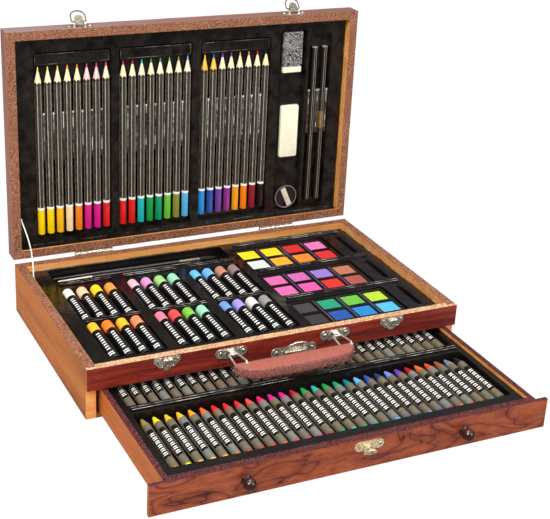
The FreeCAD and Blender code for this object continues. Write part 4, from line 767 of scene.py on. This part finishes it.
def coloured_pencils():
    """Six-sided pencils: lead, scalloped cone, barrel with a painted highlight line along each corner, white
    ring and dipped end.
    """
    shape = Shape()
    turns = [2 * pi * k / PENCIL_STEPS for k in range(PENCIL_STEPS)]
    for i, (lo, hi) in enumerate(islands("coloured_pencils", SHUT)):
        x, z, tip, length = (lo.x + hi.x) / 2, (lo.z + hi.z) / 2, lo.y, hi.y - lo.y
        flat = (hi.z - lo.z) / 2 - 0.02
        corner = flat / cos(pi / 6)
        slope = corner / CONE
        hexes = [min(flat / cos(t % (pi / 3) - pi / 6), corner * BLUNTING) for t in turns]

        def at(turn, radius, from_tip):
            return Vector((x + radius * cos(turn), tip + from_tip, z + radius * sin(turn)))

        rings = [[at(t, radius, d) for t in turns] for radius, d in ((0.35, 0.1), (LEAD * slope, LEAD))]
        rings.append([at(t, h, h / slope) for t, h in zip(turns, hexes)])
        for from_end, share, lift in ((DIP + RING, 1, 0), (DIP + RING - 0.2, 1, 0.02), (DIP + 0.2, 1, 0.02),
                                      (DIP, 1, 0), (1.4, 1, 0), (0.5, 0.9, 0), (0, 0.6, 0)):
            rings.append([at(t, h * share + lift, length - from_end) for t, h in zip(turns, hexes)])
        dip = pigment("lacquer", DIPS[i])
        bands = [pigment("wax", LEADS[i]), TINTED.get(i, BARE_WOOD), BARREL, RING_WHITE, RING_WHITE]
        shape.rings(rings, bands + [dip] * 4)
        edge = corner * BLUNTING + RIDGE_LIFT
        beside = flat / cos(radians(30 - RIDGE_TURN)) + RIDGE_LIFT
        # painted highlight line along each of the six corners
        for turn in range(0, 360, 60):
            strip = [(turn + RIDGE_TURN, beside), (turn, edge), (turn - RIDGE_TURN, beside),
                     (turn, edge - RIDGE_SUNK)]
            ends = edge / slope + 1, length - DIP - RING
            shape.rings([[at(radians(a), r, d) for a, r in strip] for d in ends], RIDGE_HIGHLIGHT)
    shape.build("pencils", "lid", ["coloured_pencils"], OPEN, 25)


coloured_pencils()


# ---- crayons and oil pastels
FRONT_CRAYONS = """ochre lemon gold gold amber tangerine red red red coral
                   rose magenta magenta crimson green turquoise green sea_green teal sky
                   cobalt navy periwinkle violet dark_red tangerine rust brown slate black""".split()
BACK_CRAYONS = """black slate brown rust tangerine dark_red violet periwinkle navy cobalt
                  sky teal sea_green green turquoise green crimson magenta magenta rose
                  coral red red tangerine amber gold gold lemon ochre brown""".split()
CRAYON_TIP = 10.5  # length of a crayon beyond its paper's neck
FRONT_PASTELS = """gold orange gold melon rose_pink strawberry
                   leaf_light spearmint denim wisteria bone ash""".split()
BACK_PASTELS = """ivory peach yellow mango blush pink_orchid
                  pistachio spearmint pale_sky bluebell toffee dusk""".split()
PASTEL_ROWS_PART = -50  # y between the front and the back pastels
PASTEL_BARE = 17  # length of a pastel beyond its sleeve


def crayon_row(name, node, colours, bare):
    """Row of crayons in paper; bare is the length that shows at the blunt end."""
    shape = Shape()
    for i, box in enumerate(islands(node)):
        x, z, front, length, r = lying(box, 0.03)
        stick = pigment("wax", colours[i])
        paper = WRAP_GREY if i % 7 in (3, 5) else WRAP
        neck = length - CRAYON_TIP
        profile = [(0, r * 0.82), (0.3, r * 0.9), (bare, r * 0.9), (bare, r), (neck - 2, r),
                   (neck - 2, r * 0.93), (neck - 0.4, r * 0.93), (neck + 0.2, r * 0.88),
                   (neck + 7, r * 0.5), (neck + 9.6, r * 0.34), (neck + 10.4, r * 0.2)]
        mats = [stick, stick, paper, paper, paper] + [stick] * 5
        lathe(shape, (x, front, z), Y, X, profile, mats, 32)
        at = sleeve_point(x, z, r)
        label(shape, at, front + 15, front + 60)
        plain_bars(shape, at, front + 18, front + 57, pitch=6.2, bars=2, length=5.2, half_turn=0.5)
    shape.build(name, "drawer", [node], HERE, 40)


def oil_pastels():
    shape = Shape()
    boxes = islands("oil_pastels")
    rows = ([b for b in boxes if b[0].y < PASTEL_ROWS_PART], [b for b in boxes if b[0].y >= PASTEL_ROWS_PART])
    for row, names in zip(rows, (FRONT_PASTELS, BACK_PASTELS)):
        for box, name in zip(row, names):
            x, z, front, length, r = lying(box, 0.02)
            stick = pigment("cake", name)
            profile = [(0.7, r * 0.6), (0, r * 0.66), (0, r * 0.93), (0.5, r), (length - PASTEL_BARE, r),
                       (length - PASTEL_BARE, r * 0.96), (length - 1.2, r * 0.96), (length - 0.3, r * 0.88),
                       (length, r * 0.7)]
            mats = [stick, SLEEVE, SLEEVE, SLEEVE, SLEEVE, stick, stick, stick]
            lathe(shape, (x, front, z), Y, X, profile, mats, 28)
            at = sleeve_point(x, z, r)
            plain_bars(shape, at, front + 4, front + 13, pitch=9, bars=2, length=7, half_turn=0.5)
            end = front + length - 22
            plain_bars(shape, at, front + 14, end, pitch=4.4, bars=1, length=3.6, half_turn=0.32)
    shape.build("pastels", "case", ["oil_pastels"], HERE, 40)


crayon_row("crayons_front", "front_crayons", FRONT_CRAYONS, 1.8)
crayon_row("crayons_back", "back_crayons", BACK_CRAYONS, 0.6)
oil_pastels()


# ---- paint pans and brushes
PANS = ["ink royal azure aqua charcoal jade fern pear".split(),
        "fuchsia hot_pink scarlet oxide petal heather iris clay".split(),
        "chalk amber orange scarlet lemon yellow scarlet pink".split()]
PANS_IN_ROW = 4
PALETTE_RISE = 1  # of a palette's face over its pans
RIB_HALF = 0.3
WELL = ((0, 0.3), (0.3, 0), (0.6, 0), (0.9, 0.3), (6, 0.2), (9.6, 0.15))  # (inset, depth), rim to middle
PALE_BRUSH = 1  # the second brush has a pale end to its handle
PALE_SHARE = 0.22


def paint_pans():
    """Cakes in their black wells, and the ribs between the pans of each palette, coloured bluish as their
    painted highlight.
    """
    shape = Shape()
    boxes = sorted(islands("paint_pans"), key=lambda b: b[0].y)
    for p, names in enumerate(PANS):
        pans = boxes[p * len(names):(p + 1) * len(names)]
        back = pans[-1][1].y
        pans = left_to_right(pans[:PANS_IN_ROW]) + left_to_right(pans[PANS_IN_ROW:])
        for i, (lo, hi) in enumerate(pans):
            mat = pigment("cake", names[i])
            rings = [rounded_rectangle(lo, hi, 0, 1.2, lo.z)]
            for inset, depth in WELL:
                rings.append(rounded_rectangle(lo, hi, inset, 1.2 if inset < 3 else 0.4, hi.z - depth))
            shape.rings(rings, [TRAY, TRAY, mat, mat, mat, mat])
            if 0 < i < PANS_IN_ROW:
                x = (pans[i - 1][1].x + lo.x) / 2
                top = hi.z + PALETTE_RISE
                rib = (x - RIB_HALF, lo.y, top - 0.1), (x + RIB_HALF, back, top + 0.35)
                slab(shape, *rib, RIB_HIGHLIGHT, 0.1, 0.15)
    shape.build("pans", "case", ["paint_pans"], HERE, 40)


def paint_brushes():
    """Slim brushes that lie a little askew: handle, ferrule and pointed hair."""
    shape = Shape()
    for i, (lo, hi) in enumerate(sorted(islands("paint_brushes"), key=lambda b: -b[1].y)):
        r = (hi.z - lo.z) / 2 - 0.02
        start = Vector((lo.x + 0.5, hi.y - r, (lo.z + hi.z) / 2))
        end = Vector((hi.x - 0.5, lo.y + r * 0.5, (lo.z + hi.z) / 2))
        axis = (end - start).normalized()
        length = (end - start).length
        shares = [(0, 0.3), (0.01, 0.5), (PALE_SHARE, 0.86), (0.3, 0.95), (0.55, 0.85), (0.76, 0.72),
                  (0.77, 0.8), (0.88, 0.86), (0.89, 0.84), (0.93, 0.95), (0.97, 0.6), (0.999, 0.08)]
        first = BRUSH_END if i == PALE_BRUSH else BRUSH_PAINT
        mats = [first] * 2 + [BRUSH_PAINT] * 3 + [DARK_NICKEL] * 3 + [BRISTLE] * 3
        lathe(shape, start, axis, axis.cross(Z), [(s * length, q * r) for s, q in shares], mats, 16)
    shape.build("brushes", "case", ["paint_brushes"], HERE, 40)


paint_pans()
paint_brushes()


# ---- small things in the lid
BARE_END = 6.5  # of the wrapped bar, beyond its film
REFLECTION_START, REFLECTION_END = 73, 92  # painted gold reflection along the right drawing stick, from its front end


def erasers():
    """White block, and a bar that shows at the end of its film."""
    lo, hi = islands("eraser", SHUT)[0]
    shape = Shape()
    slab(shape, lo, hi, ERASER, 1.2, 2)
    shape.build("eraser_block", "lid", ["eraser"], OPEN, 50)
    lo, hi = islands("wrapped_bar", SHUT)[0]
    seam = hi.y - BARE_END
    shape = Shape()
    slab(shape, lo, (hi.x, seam, hi.z), FOIL, 0.7, 0.9)
    slab(shape, (lo.x + 0.4, seam, lo.z + 0.3), (hi.x - 0.4, hi.y, hi.z), ERASER, 0.7, 0.9)
    shape.build("wrapped_bar_detail", "lid", ["wrapped_bar"], OPEN, 50)


def drawing_sticks():
    """Round sticks, each with two fine painted highlight lines on the side that shows; the right one has a
    painted gold reflection along part of its length.
    """
    shape = Shape()
    # the right stick's middle stretch takes the painted gold reflection; band is that stretch's material
    for band, box in zip((STICK, STICK_GOLD_REFLECTION), islands("drawing_sticks", SHUT)):
        x, z, front, length, r = lying(box, 0.02)
        profile = [(0, r * 0.75), (0.4, r), (1.2, r), (REFLECTION_START, r), (REFLECTION_END, r), (length - 0.5, r),
                   (length, r * 0.75)]
        mats = [STICK_END, STICK_END, STICK, band, STICK, STICK]
        lathe(shape, (x, front, z), Y, X, profile, mats, 20)
        ys = front + 2, front + length - 2
        for turn in (pi - 0.35, pi + 0.35):
            spans = [(turn - 0.09, turn + 0.09)] * 2
            sleeve_band(shape, sleeve_point(x, z, r), ys, spans, 0.03, STICK_HIGHLIGHT, 2)
    shape.build("sticks", "lid", ["drawing_sticks"], OPEN, 40)


def sharpener_rim():
    lo, hi = islands("sharpener_body", SHUT)[0]
    r = (hi.x - lo.x) / 2
    profile = [(-0.6, 0.02), (-0.1, -0.1), (0.06, -0.4), (0.06, -0.9), (-0.1, -1.1), (-0.6, -1.1),
               (-0.6, 0.02)]
    shape = Shape()
    lathe(shape, ((lo.x + hi.x) / 2, (lo.y + hi.y) / 2, lo.z), -Z, X, [(s, r + more) for s, more in profile],
          SHARP_RIM, 36, (False, False))
    shape.build("sharpener_rim", "lid", (), OPEN, 50)


erasers()
drawing_sticks()
sharpener_rim()


# ---- metalwork
CORNERS = ((-1, -1), (1, -1), (1, 1), (-1, 1))
KEEPER_LOBES = ((-9.6, 48.4, 3.5), (9.6, 48.4, 3.5), (-6, 44.6, 3.4), (6, 44.6, 3.4), (0, 44.2, 5.6),
                (0, 41.4, 3.2))  # x from the middle, z and radius
HINGE_SCREWS = (-14.8, 0, 14.8)
BRACKET_SCREWS = (-11.4, 11.4)
BRACKET_BARS = (-6.4, 6.4)
HASP_EARS = (-18.8, 18.8)
PETALS = 8


def screw(shape, centre, out, size, mat):
    """Domed head with a cross slot, drawn as dark bars on the dome: painted shade for the slot's recess."""
    u = out.orthogonal().normalized()
    v = out.cross(u)
    profile = [(s * size, r * size) for s, r in ((0, 1), (0.15, 1), (0.35, 0.8), (0.46, 0.45), (0.48, 0.15))]
    lathe(shape, centre, out, u, profile, [DARK_EDGE_METAL, mat, mat, mat], 16, (False, True))
    for a, b in ((u, v), (v, u)):
        points = [centre + (out * 0.5 + a * (0.6 * s) + b * (0.1 * t)) * size for s, t in CORNERS]
        shape.plate(points, out * (-0.1 * size), SLOT_SHADE)


def screws(shape, xs, offsets, y, z, out, size, mat=NICKEL):
    for x in xs:
        for dx in offsets:
            screw(shape, Vector((x + dx, y, z)), out, size, mat)


def disc(shape, centre, radius, thickness):
    """Thin round plate with a soft rim, on a face that looks ahead."""
    edge = min(0.25, thickness / 2)
    profile = [(0, radius), (thickness - edge, radius), (thickness, radius - edge)]
    lathe(shape, centre, -Y, (-Y).orthogonal().normalized(), profile, [DARK_EDGE_METAL, NICKEL], 24, (False, True))


def keepers():
    """Plates that the lid's latches hook on: overlapping lobes, a top bar, bosses and the hooked lip."""
    shape = Shape()
    for x in LATCH_XS:
        for i, (dx, z, radius) in enumerate(KEEPER_LOBES):
            disc(shape, Vector((x + dx, FRONT, z)), radius, 0.74 + 0.02 * i)
        slab(shape, (x - 12.4, FRONT - 0.8, 47.6), (x + 12.4, FRONT, 52), NICKEL, 0.2, 0.3)
        boss = [(0, 1.7), (0.25, 1.6), (0.3, 1), (0.05, 0.8)]
        for dx in (-5.4, 0, 5.4):
            lathe(shape, (x + dx, FRONT - 0.75, 43.6), -Y, X, boss, NICKEL, 14, (False, True))
        curl = [(0, 0.9), (0.2, 1.1), (8.4, 1.1), (8.6, 0.9)]
        lathe(shape, (x - 4.3, FRONT - 2.6, 49.4), X, Y, curl, NICKEL, 14)
        slab(shape, (x - 4.3, FRONT - 2.6, 49.7), (x + 4.3, FRONT, 50.5), NICKEL, 0.1, 0.2)
    shape.build("keepers", "case", ["latch_keepers"])


def plate_screws():
    """Screws of all plates, with the rings and bars of the handle's brackets and the hasp's round ears."""
    shape = Shape()
    y = FRONT - PLATE
    screws(shape, BRACKET_XS, BRACKET_SCREWS, y, HANDLE_AXIS[1], -Y, 2.5)
    hoop = [(-0.05, 4.7), (0.45, 4.5), (0.45, 4), (-0.05, 3.8), (-0.05, 4.7)]
    for x in BRACKET_XS:
        for dx in BRACKET_SCREWS:
            lathe(shape, (x + dx, y, HANDLE_AXIS[1]), -Y, X, hoop, NICKEL, 24, (False, False))
        for middle in (x + dx for dx in BRACKET_BARS):
            slab(shape, (middle - 0.8, FRONT - 2, 40.4), (middle + 0.8, FRONT - 0.7, 49.6), NICKEL, 0.3, 0.5)
    screws(shape, LATCH_XS, (-9.6, 9.6), y, 48.6, -Y, 1.8)
    for dx in HASP_EARS:
        disc(shape, Vector((HASP_X + dx, FRONT, HASP_Z)), 5.2, 0.85)
    screws(shape, (HASP_X,), HASP_EARS, y, HASP_Z, -Y, 2.3)
    screws(shape, HINGE_XS, HINGE_SCREWS, HINGE_FACE, 43.4, Y, 2)
    shape.build("case_screws", "case")
    shape = Shape()
    screws(shape, LATCH_XS, (-10.6, 10.6), y, 58.9, -Y, 1.8)
    screws(shape, HINGE_XS, HINGE_SCREWS, HINGE_FACE, 61.8, Y, 2)
    shape.build("lid_screws", "lid", (), OPEN)
    shape = Shape()
    screws(shape, (CATCH_X,), (-10, 10), DRAWER_FACE - PLATE, CATCH_Z, -Y, 1.9, BRASS)
    shape.build("catch_screws", "drawer")


def loop(centre, out, half, reach, straight, corner, foot, step):
    """Route of a wire loop: from a foot on the axis round a corner, over a half-oval end and back."""
    inner = half - corner
    left = arc(centre - X * inner + out * corner, -out, -X, corner, 15, 90, 5)
    right = arc(centre + X * inner + out * corner, -out, X, corner, 15, 90, 5)
    end = [centre - X * (half * cos(a)) + out * (straight + (reach - straight) * sin(a))
           for a in (radians(degrees) for degrees in range(0, 181, step))]
    return ([centre - X * foot, centre - X * inner] + left + end + right[::-1]
            + [centre + X * inner, centre + X * foot])


def bail(name, node, body, x):
    """Wire bail drawn in the lever's locked place, then leaned out and swung up with the lid."""
    shape = Shape()
    eye = Vector((x, FRONT - LATCH_OUT, LATCH_EYE_Z))
    route = loop(eye, Z, half=7.4, reach=11.6, straight=5.8, corner=1.2, foot=1.2, step=12)
    tube(shape, route, 0.64, BAIL_WIRE, 10)
    shape.build(name, body, [node], OPEN @ swing(FRONT - LATCH_OUT, LATCH_AXIS_Z, LEVER_LEAN), 60)


def hasp():
    """Wire ring, and the rosette of beads on its plate."""
    shape = Shape()
    eye = Vector((HASP_X, FRONT - HASP_OUT, HASP_Z))
    route = loop(eye, -Y, half=12.5, reach=15, straight=3, corner=1.6, foot=5.5, step=10)
    tube(shape, route, 1.08, NICKEL, 12)
    shape.build("ring", "ring", ["hasp_ring"], swing(FRONT - HASP_OUT, HASP_Z, RING_LEAN), 60)
    shape = Shape()
    centre = Vector((HASP_X, FRONT - 1.6, HASP_Z + 0.5))
    petal = [(-0.6, 1.1), (0.1, 1.05), (0.5, 0.6), (0.6, 0.1)]
    for place in circle(centre, X, Z, 2.3, PETALS):
        lathe(shape, place, -Y, X, petal, NICKEL, 10, (False, True))
    lathe(shape, centre, -Y, X, [(-0.6, 1.3), (0.6, 1.2), (1, 0.7), (1.1, 0.1)], NICKEL, 14, (False, True))
    shape.build("hasp_rosette", "case")


keepers()
plate_screws()
bail("bail_left", "left_latch_bail", "left_bail", LATCH_XS[0])
bail("bail_right", "right_latch_bail", "right_bail", LATCH_XS[1])
hasp()


# ---- handle and knobs
LEG = 4.4  # of a handle wire from its bracket's middle
GRIP_BACK, GRIP_TOP = -140, 46
WIRE_END = GRIP_BACK - 3.6  # y at which a wire enters the grip's top
GRIP_SIDE = ((0, 2), (0.6, 6), (2.6, 10), (6, 13.6), (10.5, 16.6), (16, 18.6))  # inset, depth
GRIP_BACK_STEPS, GRIP_FRONT_STEPS = 16, 12
KNOB_RADIUS = 5.7
KNOB_REACH = 7.2  # of the ball's middle from the drawer's face


def rounded(points, radius, steps=5):
    """Route with a tangent arc in place of each inner corner."""
    route = [points[0]]
    for before, corner, after in zip(points, points[1:], points[2:]):
        u, v = (before - corner).normalized(), (after - corner).normalized()
        half = u.angle(v) / 2
        centre = corner + (u + v).normalized() * (radius / sin(half))
        a, b = (corner + w * (radius / tan(half)) - centre for w in (u, v))
        turn = a.angle(b)
        for k in range(steps + 1):
            part = turn * k / steps
            route.append(centre + (a * sin(turn - part) + b * sin(part)) / sin(turn))
    return route + [points[-1]]


def handle_wires():
    """In each bracket a wire runs from the grip's back through the bracket and down into the grip's top."""
    shape = Shape()
    y, z = HANDLE_AXIS
    for x in BRACKET_XS:
        legs = [(x - LEG, GRIP_BACK - 5, 41.75), (x - LEG, y, z), (x + LEG, y, z),
                (x + LEG, WIRE_END, GRIP_TOP + 2), (x + LEG, WIRE_END, GRIP_TOP - 5)]
        tube(shape, rounded([Vector(p) for p in legs], 1.6), 1, STEEL, 12)
    shape.build("wires", "handle", ["handle_wires"], HERE, 60)


def grip_plan(half, front, back):
    """Outline seen from above, as (x, y): straight back, curved ends and a bowed front."""
    side = [(half - inset, back - depth) for inset, depth in GRIP_SIDE]
    plan = [(-half + 2 * half * k / GRIP_BACK_STEPS, back) for k in range(GRIP_BACK_STEPS + 1)] + side
    reach, start = side[-1]
    for k in range(1, GRIP_FRONT_STEPS):
        x = reach - 2 * reach * k / GRIP_FRONT_STEPS
        plan.append((x, start - (start - front) * (1 - (x / reach) ** 2)))
    return plan + [(-x, y) for x, y in reversed(side)]


def grip():
    """Padded grip with soft edges, and the collars where the wires enter it."""
    lo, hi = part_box("handle_grip")
    lo, hi = lo / MM, hi / MM
    half, deep, middle = (hi.x - lo.x) / 2, (hi.y - lo.y) / 2, (hi.y + lo.y) / 2
    plan = grip_plan(half, lo.y, hi.y)
    rings = []
    for inset, z in ((2.6, lo.z), (1, lo.z + 0.5), (0.2, lo.z + 1.5), (0, lo.z + 3), (0, hi.z - 3),
                     (0.3, hi.z - 1.4), (1.2, hi.z - 0.4), (2.8, hi.z)):
        across, along = 1 - inset / half, 1 - inset / deep
        rings.append([Vector((x * across, middle + (y - middle) * along, z)) for x, y in plan])
    shape = Shape()
    shape.rings(rings, [LEATHER_EDGE] * 6 + [LEATHER])
    collar = [(-0.3, 2), (0.4, 2), (0.9, 1.6), (1.4, 1.25)]
    for x in BRACKET_XS:
        lathe(shape, (x - LEG, GRIP_BACK, 42.48), Y, X, collar, STEEL, 14, (True, False))
        lathe(shape, (x + LEG, WIRE_END, GRIP_TOP), Z, X, collar, STEEL, 14, (True, False))
    shape.build("grip", "handle", ["handle_grip"], HERE, 40)


def knobs():
    """Turned ball knobs, each on a thin flange."""
    profile = [(0.05, 5), (0.75, 5), (1, 4.75), (1.3, 3.2), (1.8, 2.75)]
    for a in range(-60, 91, 10):
        out, radius = KNOB_RADIUS * sin(radians(a)), KNOB_RADIUS * cos(radians(a))
        profile.append((KNOB_REACH + out, max(0.05, radius)))
    shape = Shape()
    for x in KNOB_XS:
        lathe(shape, (x, DRAWER_FACE, KNOB_Z), -Y, X, profile, KNOB, 32)
    shape.build("knobs", "drawer", ["drawer_knobs"], HERE, 50)


handle_wires()
grip()
knobs()


# ---- lid stay
ROUTE = [(-181.55, 86.26, 50.6), (-178.95, 95.63, 59.59), (-177.55, 107.11, 71.47), (-178.75, 117.01, 84.11),
         (-181.55, 124.77, 95.54)]
KNOTS = (("stay_knot_base", "case", (-181.3, 85.3, 49.4)), ("stay_knot_lid", "lid", (-181.7, 125.5, 96.8)))


def stay_path():
    """Points in metres along the smooth curve of the route."""
    data = bpy.data.curves.new("stay_path", "CURVE")
    data.dimensions = "3D"
    spline = data.splines.new("NURBS")
    spline.points.add(len(ROUTE) - 1)
    for point, place in zip(spline.points, ROUTE):
        point.co = (*[c * MM for c in place], 1)
    spline.order_u = 3
    spline.use_endpoint_u = True
    spline.resolution_u = 16
    carrier = bpy.data.objects.new("stay_path", data)
    bpy.context.scene.collection.objects.link(carrier)
    bpy.context.view_layer.update()
    line = bpy.data.meshes.new_from_object(carrier.evaluated_get(bpy.context.evaluated_depsgraph_get()))
    path = [v.co.copy() for v in line.vertices]
    bpy.data.objects.remove(carrier)
    return path


def stay():
    """Cord between its two knots."""
    path = stay_path()
    shape = Shape()
    tube(shape, [p / MM for p in path], 0.65, CORD_WHITE, 12)
    cord = shape.build("stay_cord", None, ["lid_stay_cord"], HERE, 60)
    for name, body, centre in KNOTS:
        shape = Shape()
        profile = [(0, 0.4), (0.2, 1), (0.9, 1.35), (1.6, 1.1), (2, 0.4)]
        lathe(shape, Vector(centre) - X, X, Y, profile, CORD_WHITE, 14)
        shape.build(name, body)
    length = sum((b - a).length for a, b in zip(path, path[1:]))
    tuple(path[0])
    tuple(path[-1])
    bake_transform(cord)
    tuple(path[0])


stay()


# ---- stage, light and camera, in metres
LIGHTS = (  # name, place, aim, size and power
    ("key", (-1.2, -1, 1.5), (0, -0.05, 0.05), 0.7, 27),
    ("fill", (0.9, -1.4, 0.8), (0, 0, 0.1), 0.9, 10),
    ("top", (0.1, 0.2, 1.7), (0, -0.05, 0), 0.8, 12),
    ("glint", (-0.35, -0.5, 1.3), (0, -0.05, 0), 0.1, 7),
)
CAMERA_PLACE = (-0.495358, -1.065977, 0.609163)
CAMERA_TURN = (-26.914, 24.144, 3.252)  # degrees: round the object, above the level, round its own axis
CAMERA_LENS = 84.242


def white_floor():
    """Wide floor, white for the camera and dim for glossy faces."""
    look = Look("floor_white", Roughness=0.9, Specular_IOR_Level=0.1, Base_Color=grey(0.8))
    glow = look.add("Emission", {"Color": WHITE, "Strength": 1.05}).outputs["Emission"]
    dim = look.add("Emission", {"Color": (0.9, 0.9, 0.95, 1), "Strength": 0.28}).outputs["Emission"]
    rays = look.add("LightPath").outputs
    share = look.add("Math", {0: rays["Is Camera Ray"], 1: 0.93}, operation="MULTIPLY").outputs[0]
    seen = look.choose(share, look.shader.outputs["BSDF"], glow)
    look.feed(look.nodes["Material Output"], {"Surface": look.choose(rays["Is Glossy Ray"], seen, dim)})
    bpy.ops.mesh.primitive_plane_add(size=8, location=(0, 0, 0))
    floor = bpy.context.object
    floor.name = "floor"
    floor.data.materials.append(look.mat)


def surround():
    """White for the camera and an even light; what glossy faces see is dark low down and bright overhead."""
    world = bpy.data.worlds.new("studio")
    bpy.context.scene.world = world
    sky = Tree(world)
    light = sky.nodes["Background"]
    sky.feed(light, {"Color": (0.95, 0.97, 1, 1), "Strength": 0.5})
    seen = sky.add("Background", {"Color": WHITE, "Strength": 1})
    height = sky.add("SeparateXYZ", {"Vector": sky.add("TexCoord").outputs["Generated"]}).outputs["Z"]
    tones = [(0, (0.05, 0.05, 0.06, 1)), (0.4, (0.1, 0.1, 0.11, 1)), (0.6, (0.75, 0.78, 0.82, 1)), (1, WHITE)]
    room = sky.add("Background", {"Color": sky.ramp(height, tones)})
    rays = sky.add("LightPath").outputs
    glossy = sky.choose(rays["Is Glossy Ray"], light.outputs["Background"], room.outputs["Background"])
    shown = sky.choose(rays["Is Camera Ray"], glossy, seen.outputs["Background"])
    sky.feed(sky.nodes["World Output"], {"Surface": shown})


def lights():
    for name, place, aim, size, power in LIGHTS:
        light = bpy.data.lights.new(name, "AREA")
        light.shape = "SQUARE"
        light.size = size
        light.energy = power
        obj = bpy.data.objects.new(name, light)
        bpy.context.scene.collection.objects.link(obj)
        obj.location = place
        obj.rotation_euler = (Vector(aim) - Vector(place)).to_track_quat("-Z", "Y").to_euler()


def camera():
    around, above, roll = (radians(a) for a in CAMERA_TURN)
    tilt = Matrix.Rotation(pi / 2 - above, 4, "X")
    turn = Matrix.Rotation(around, 4, "Z") @ tilt @ Matrix.Rotation(roll, 4, "Z")
    data = bpy.data.cameras.new("camera")
    data.lens = CAMERA_LENS
    data.sensor_width = 36
    data.sensor_fit = "HORIZONTAL"
    data.clip_start = 0.01
    obj = bpy.data.objects.new("camera", data)
    bpy.context.scene.collection.objects.link(obj)
    obj.matrix_world = Matrix.Translation(CAMERA_PLACE) @ turn
    bpy.context.scene.camera = obj


white_floor()
surround()
lights()
camera()
bpy.context.scene.view_settings.view_transform = "Standard"
save_size()
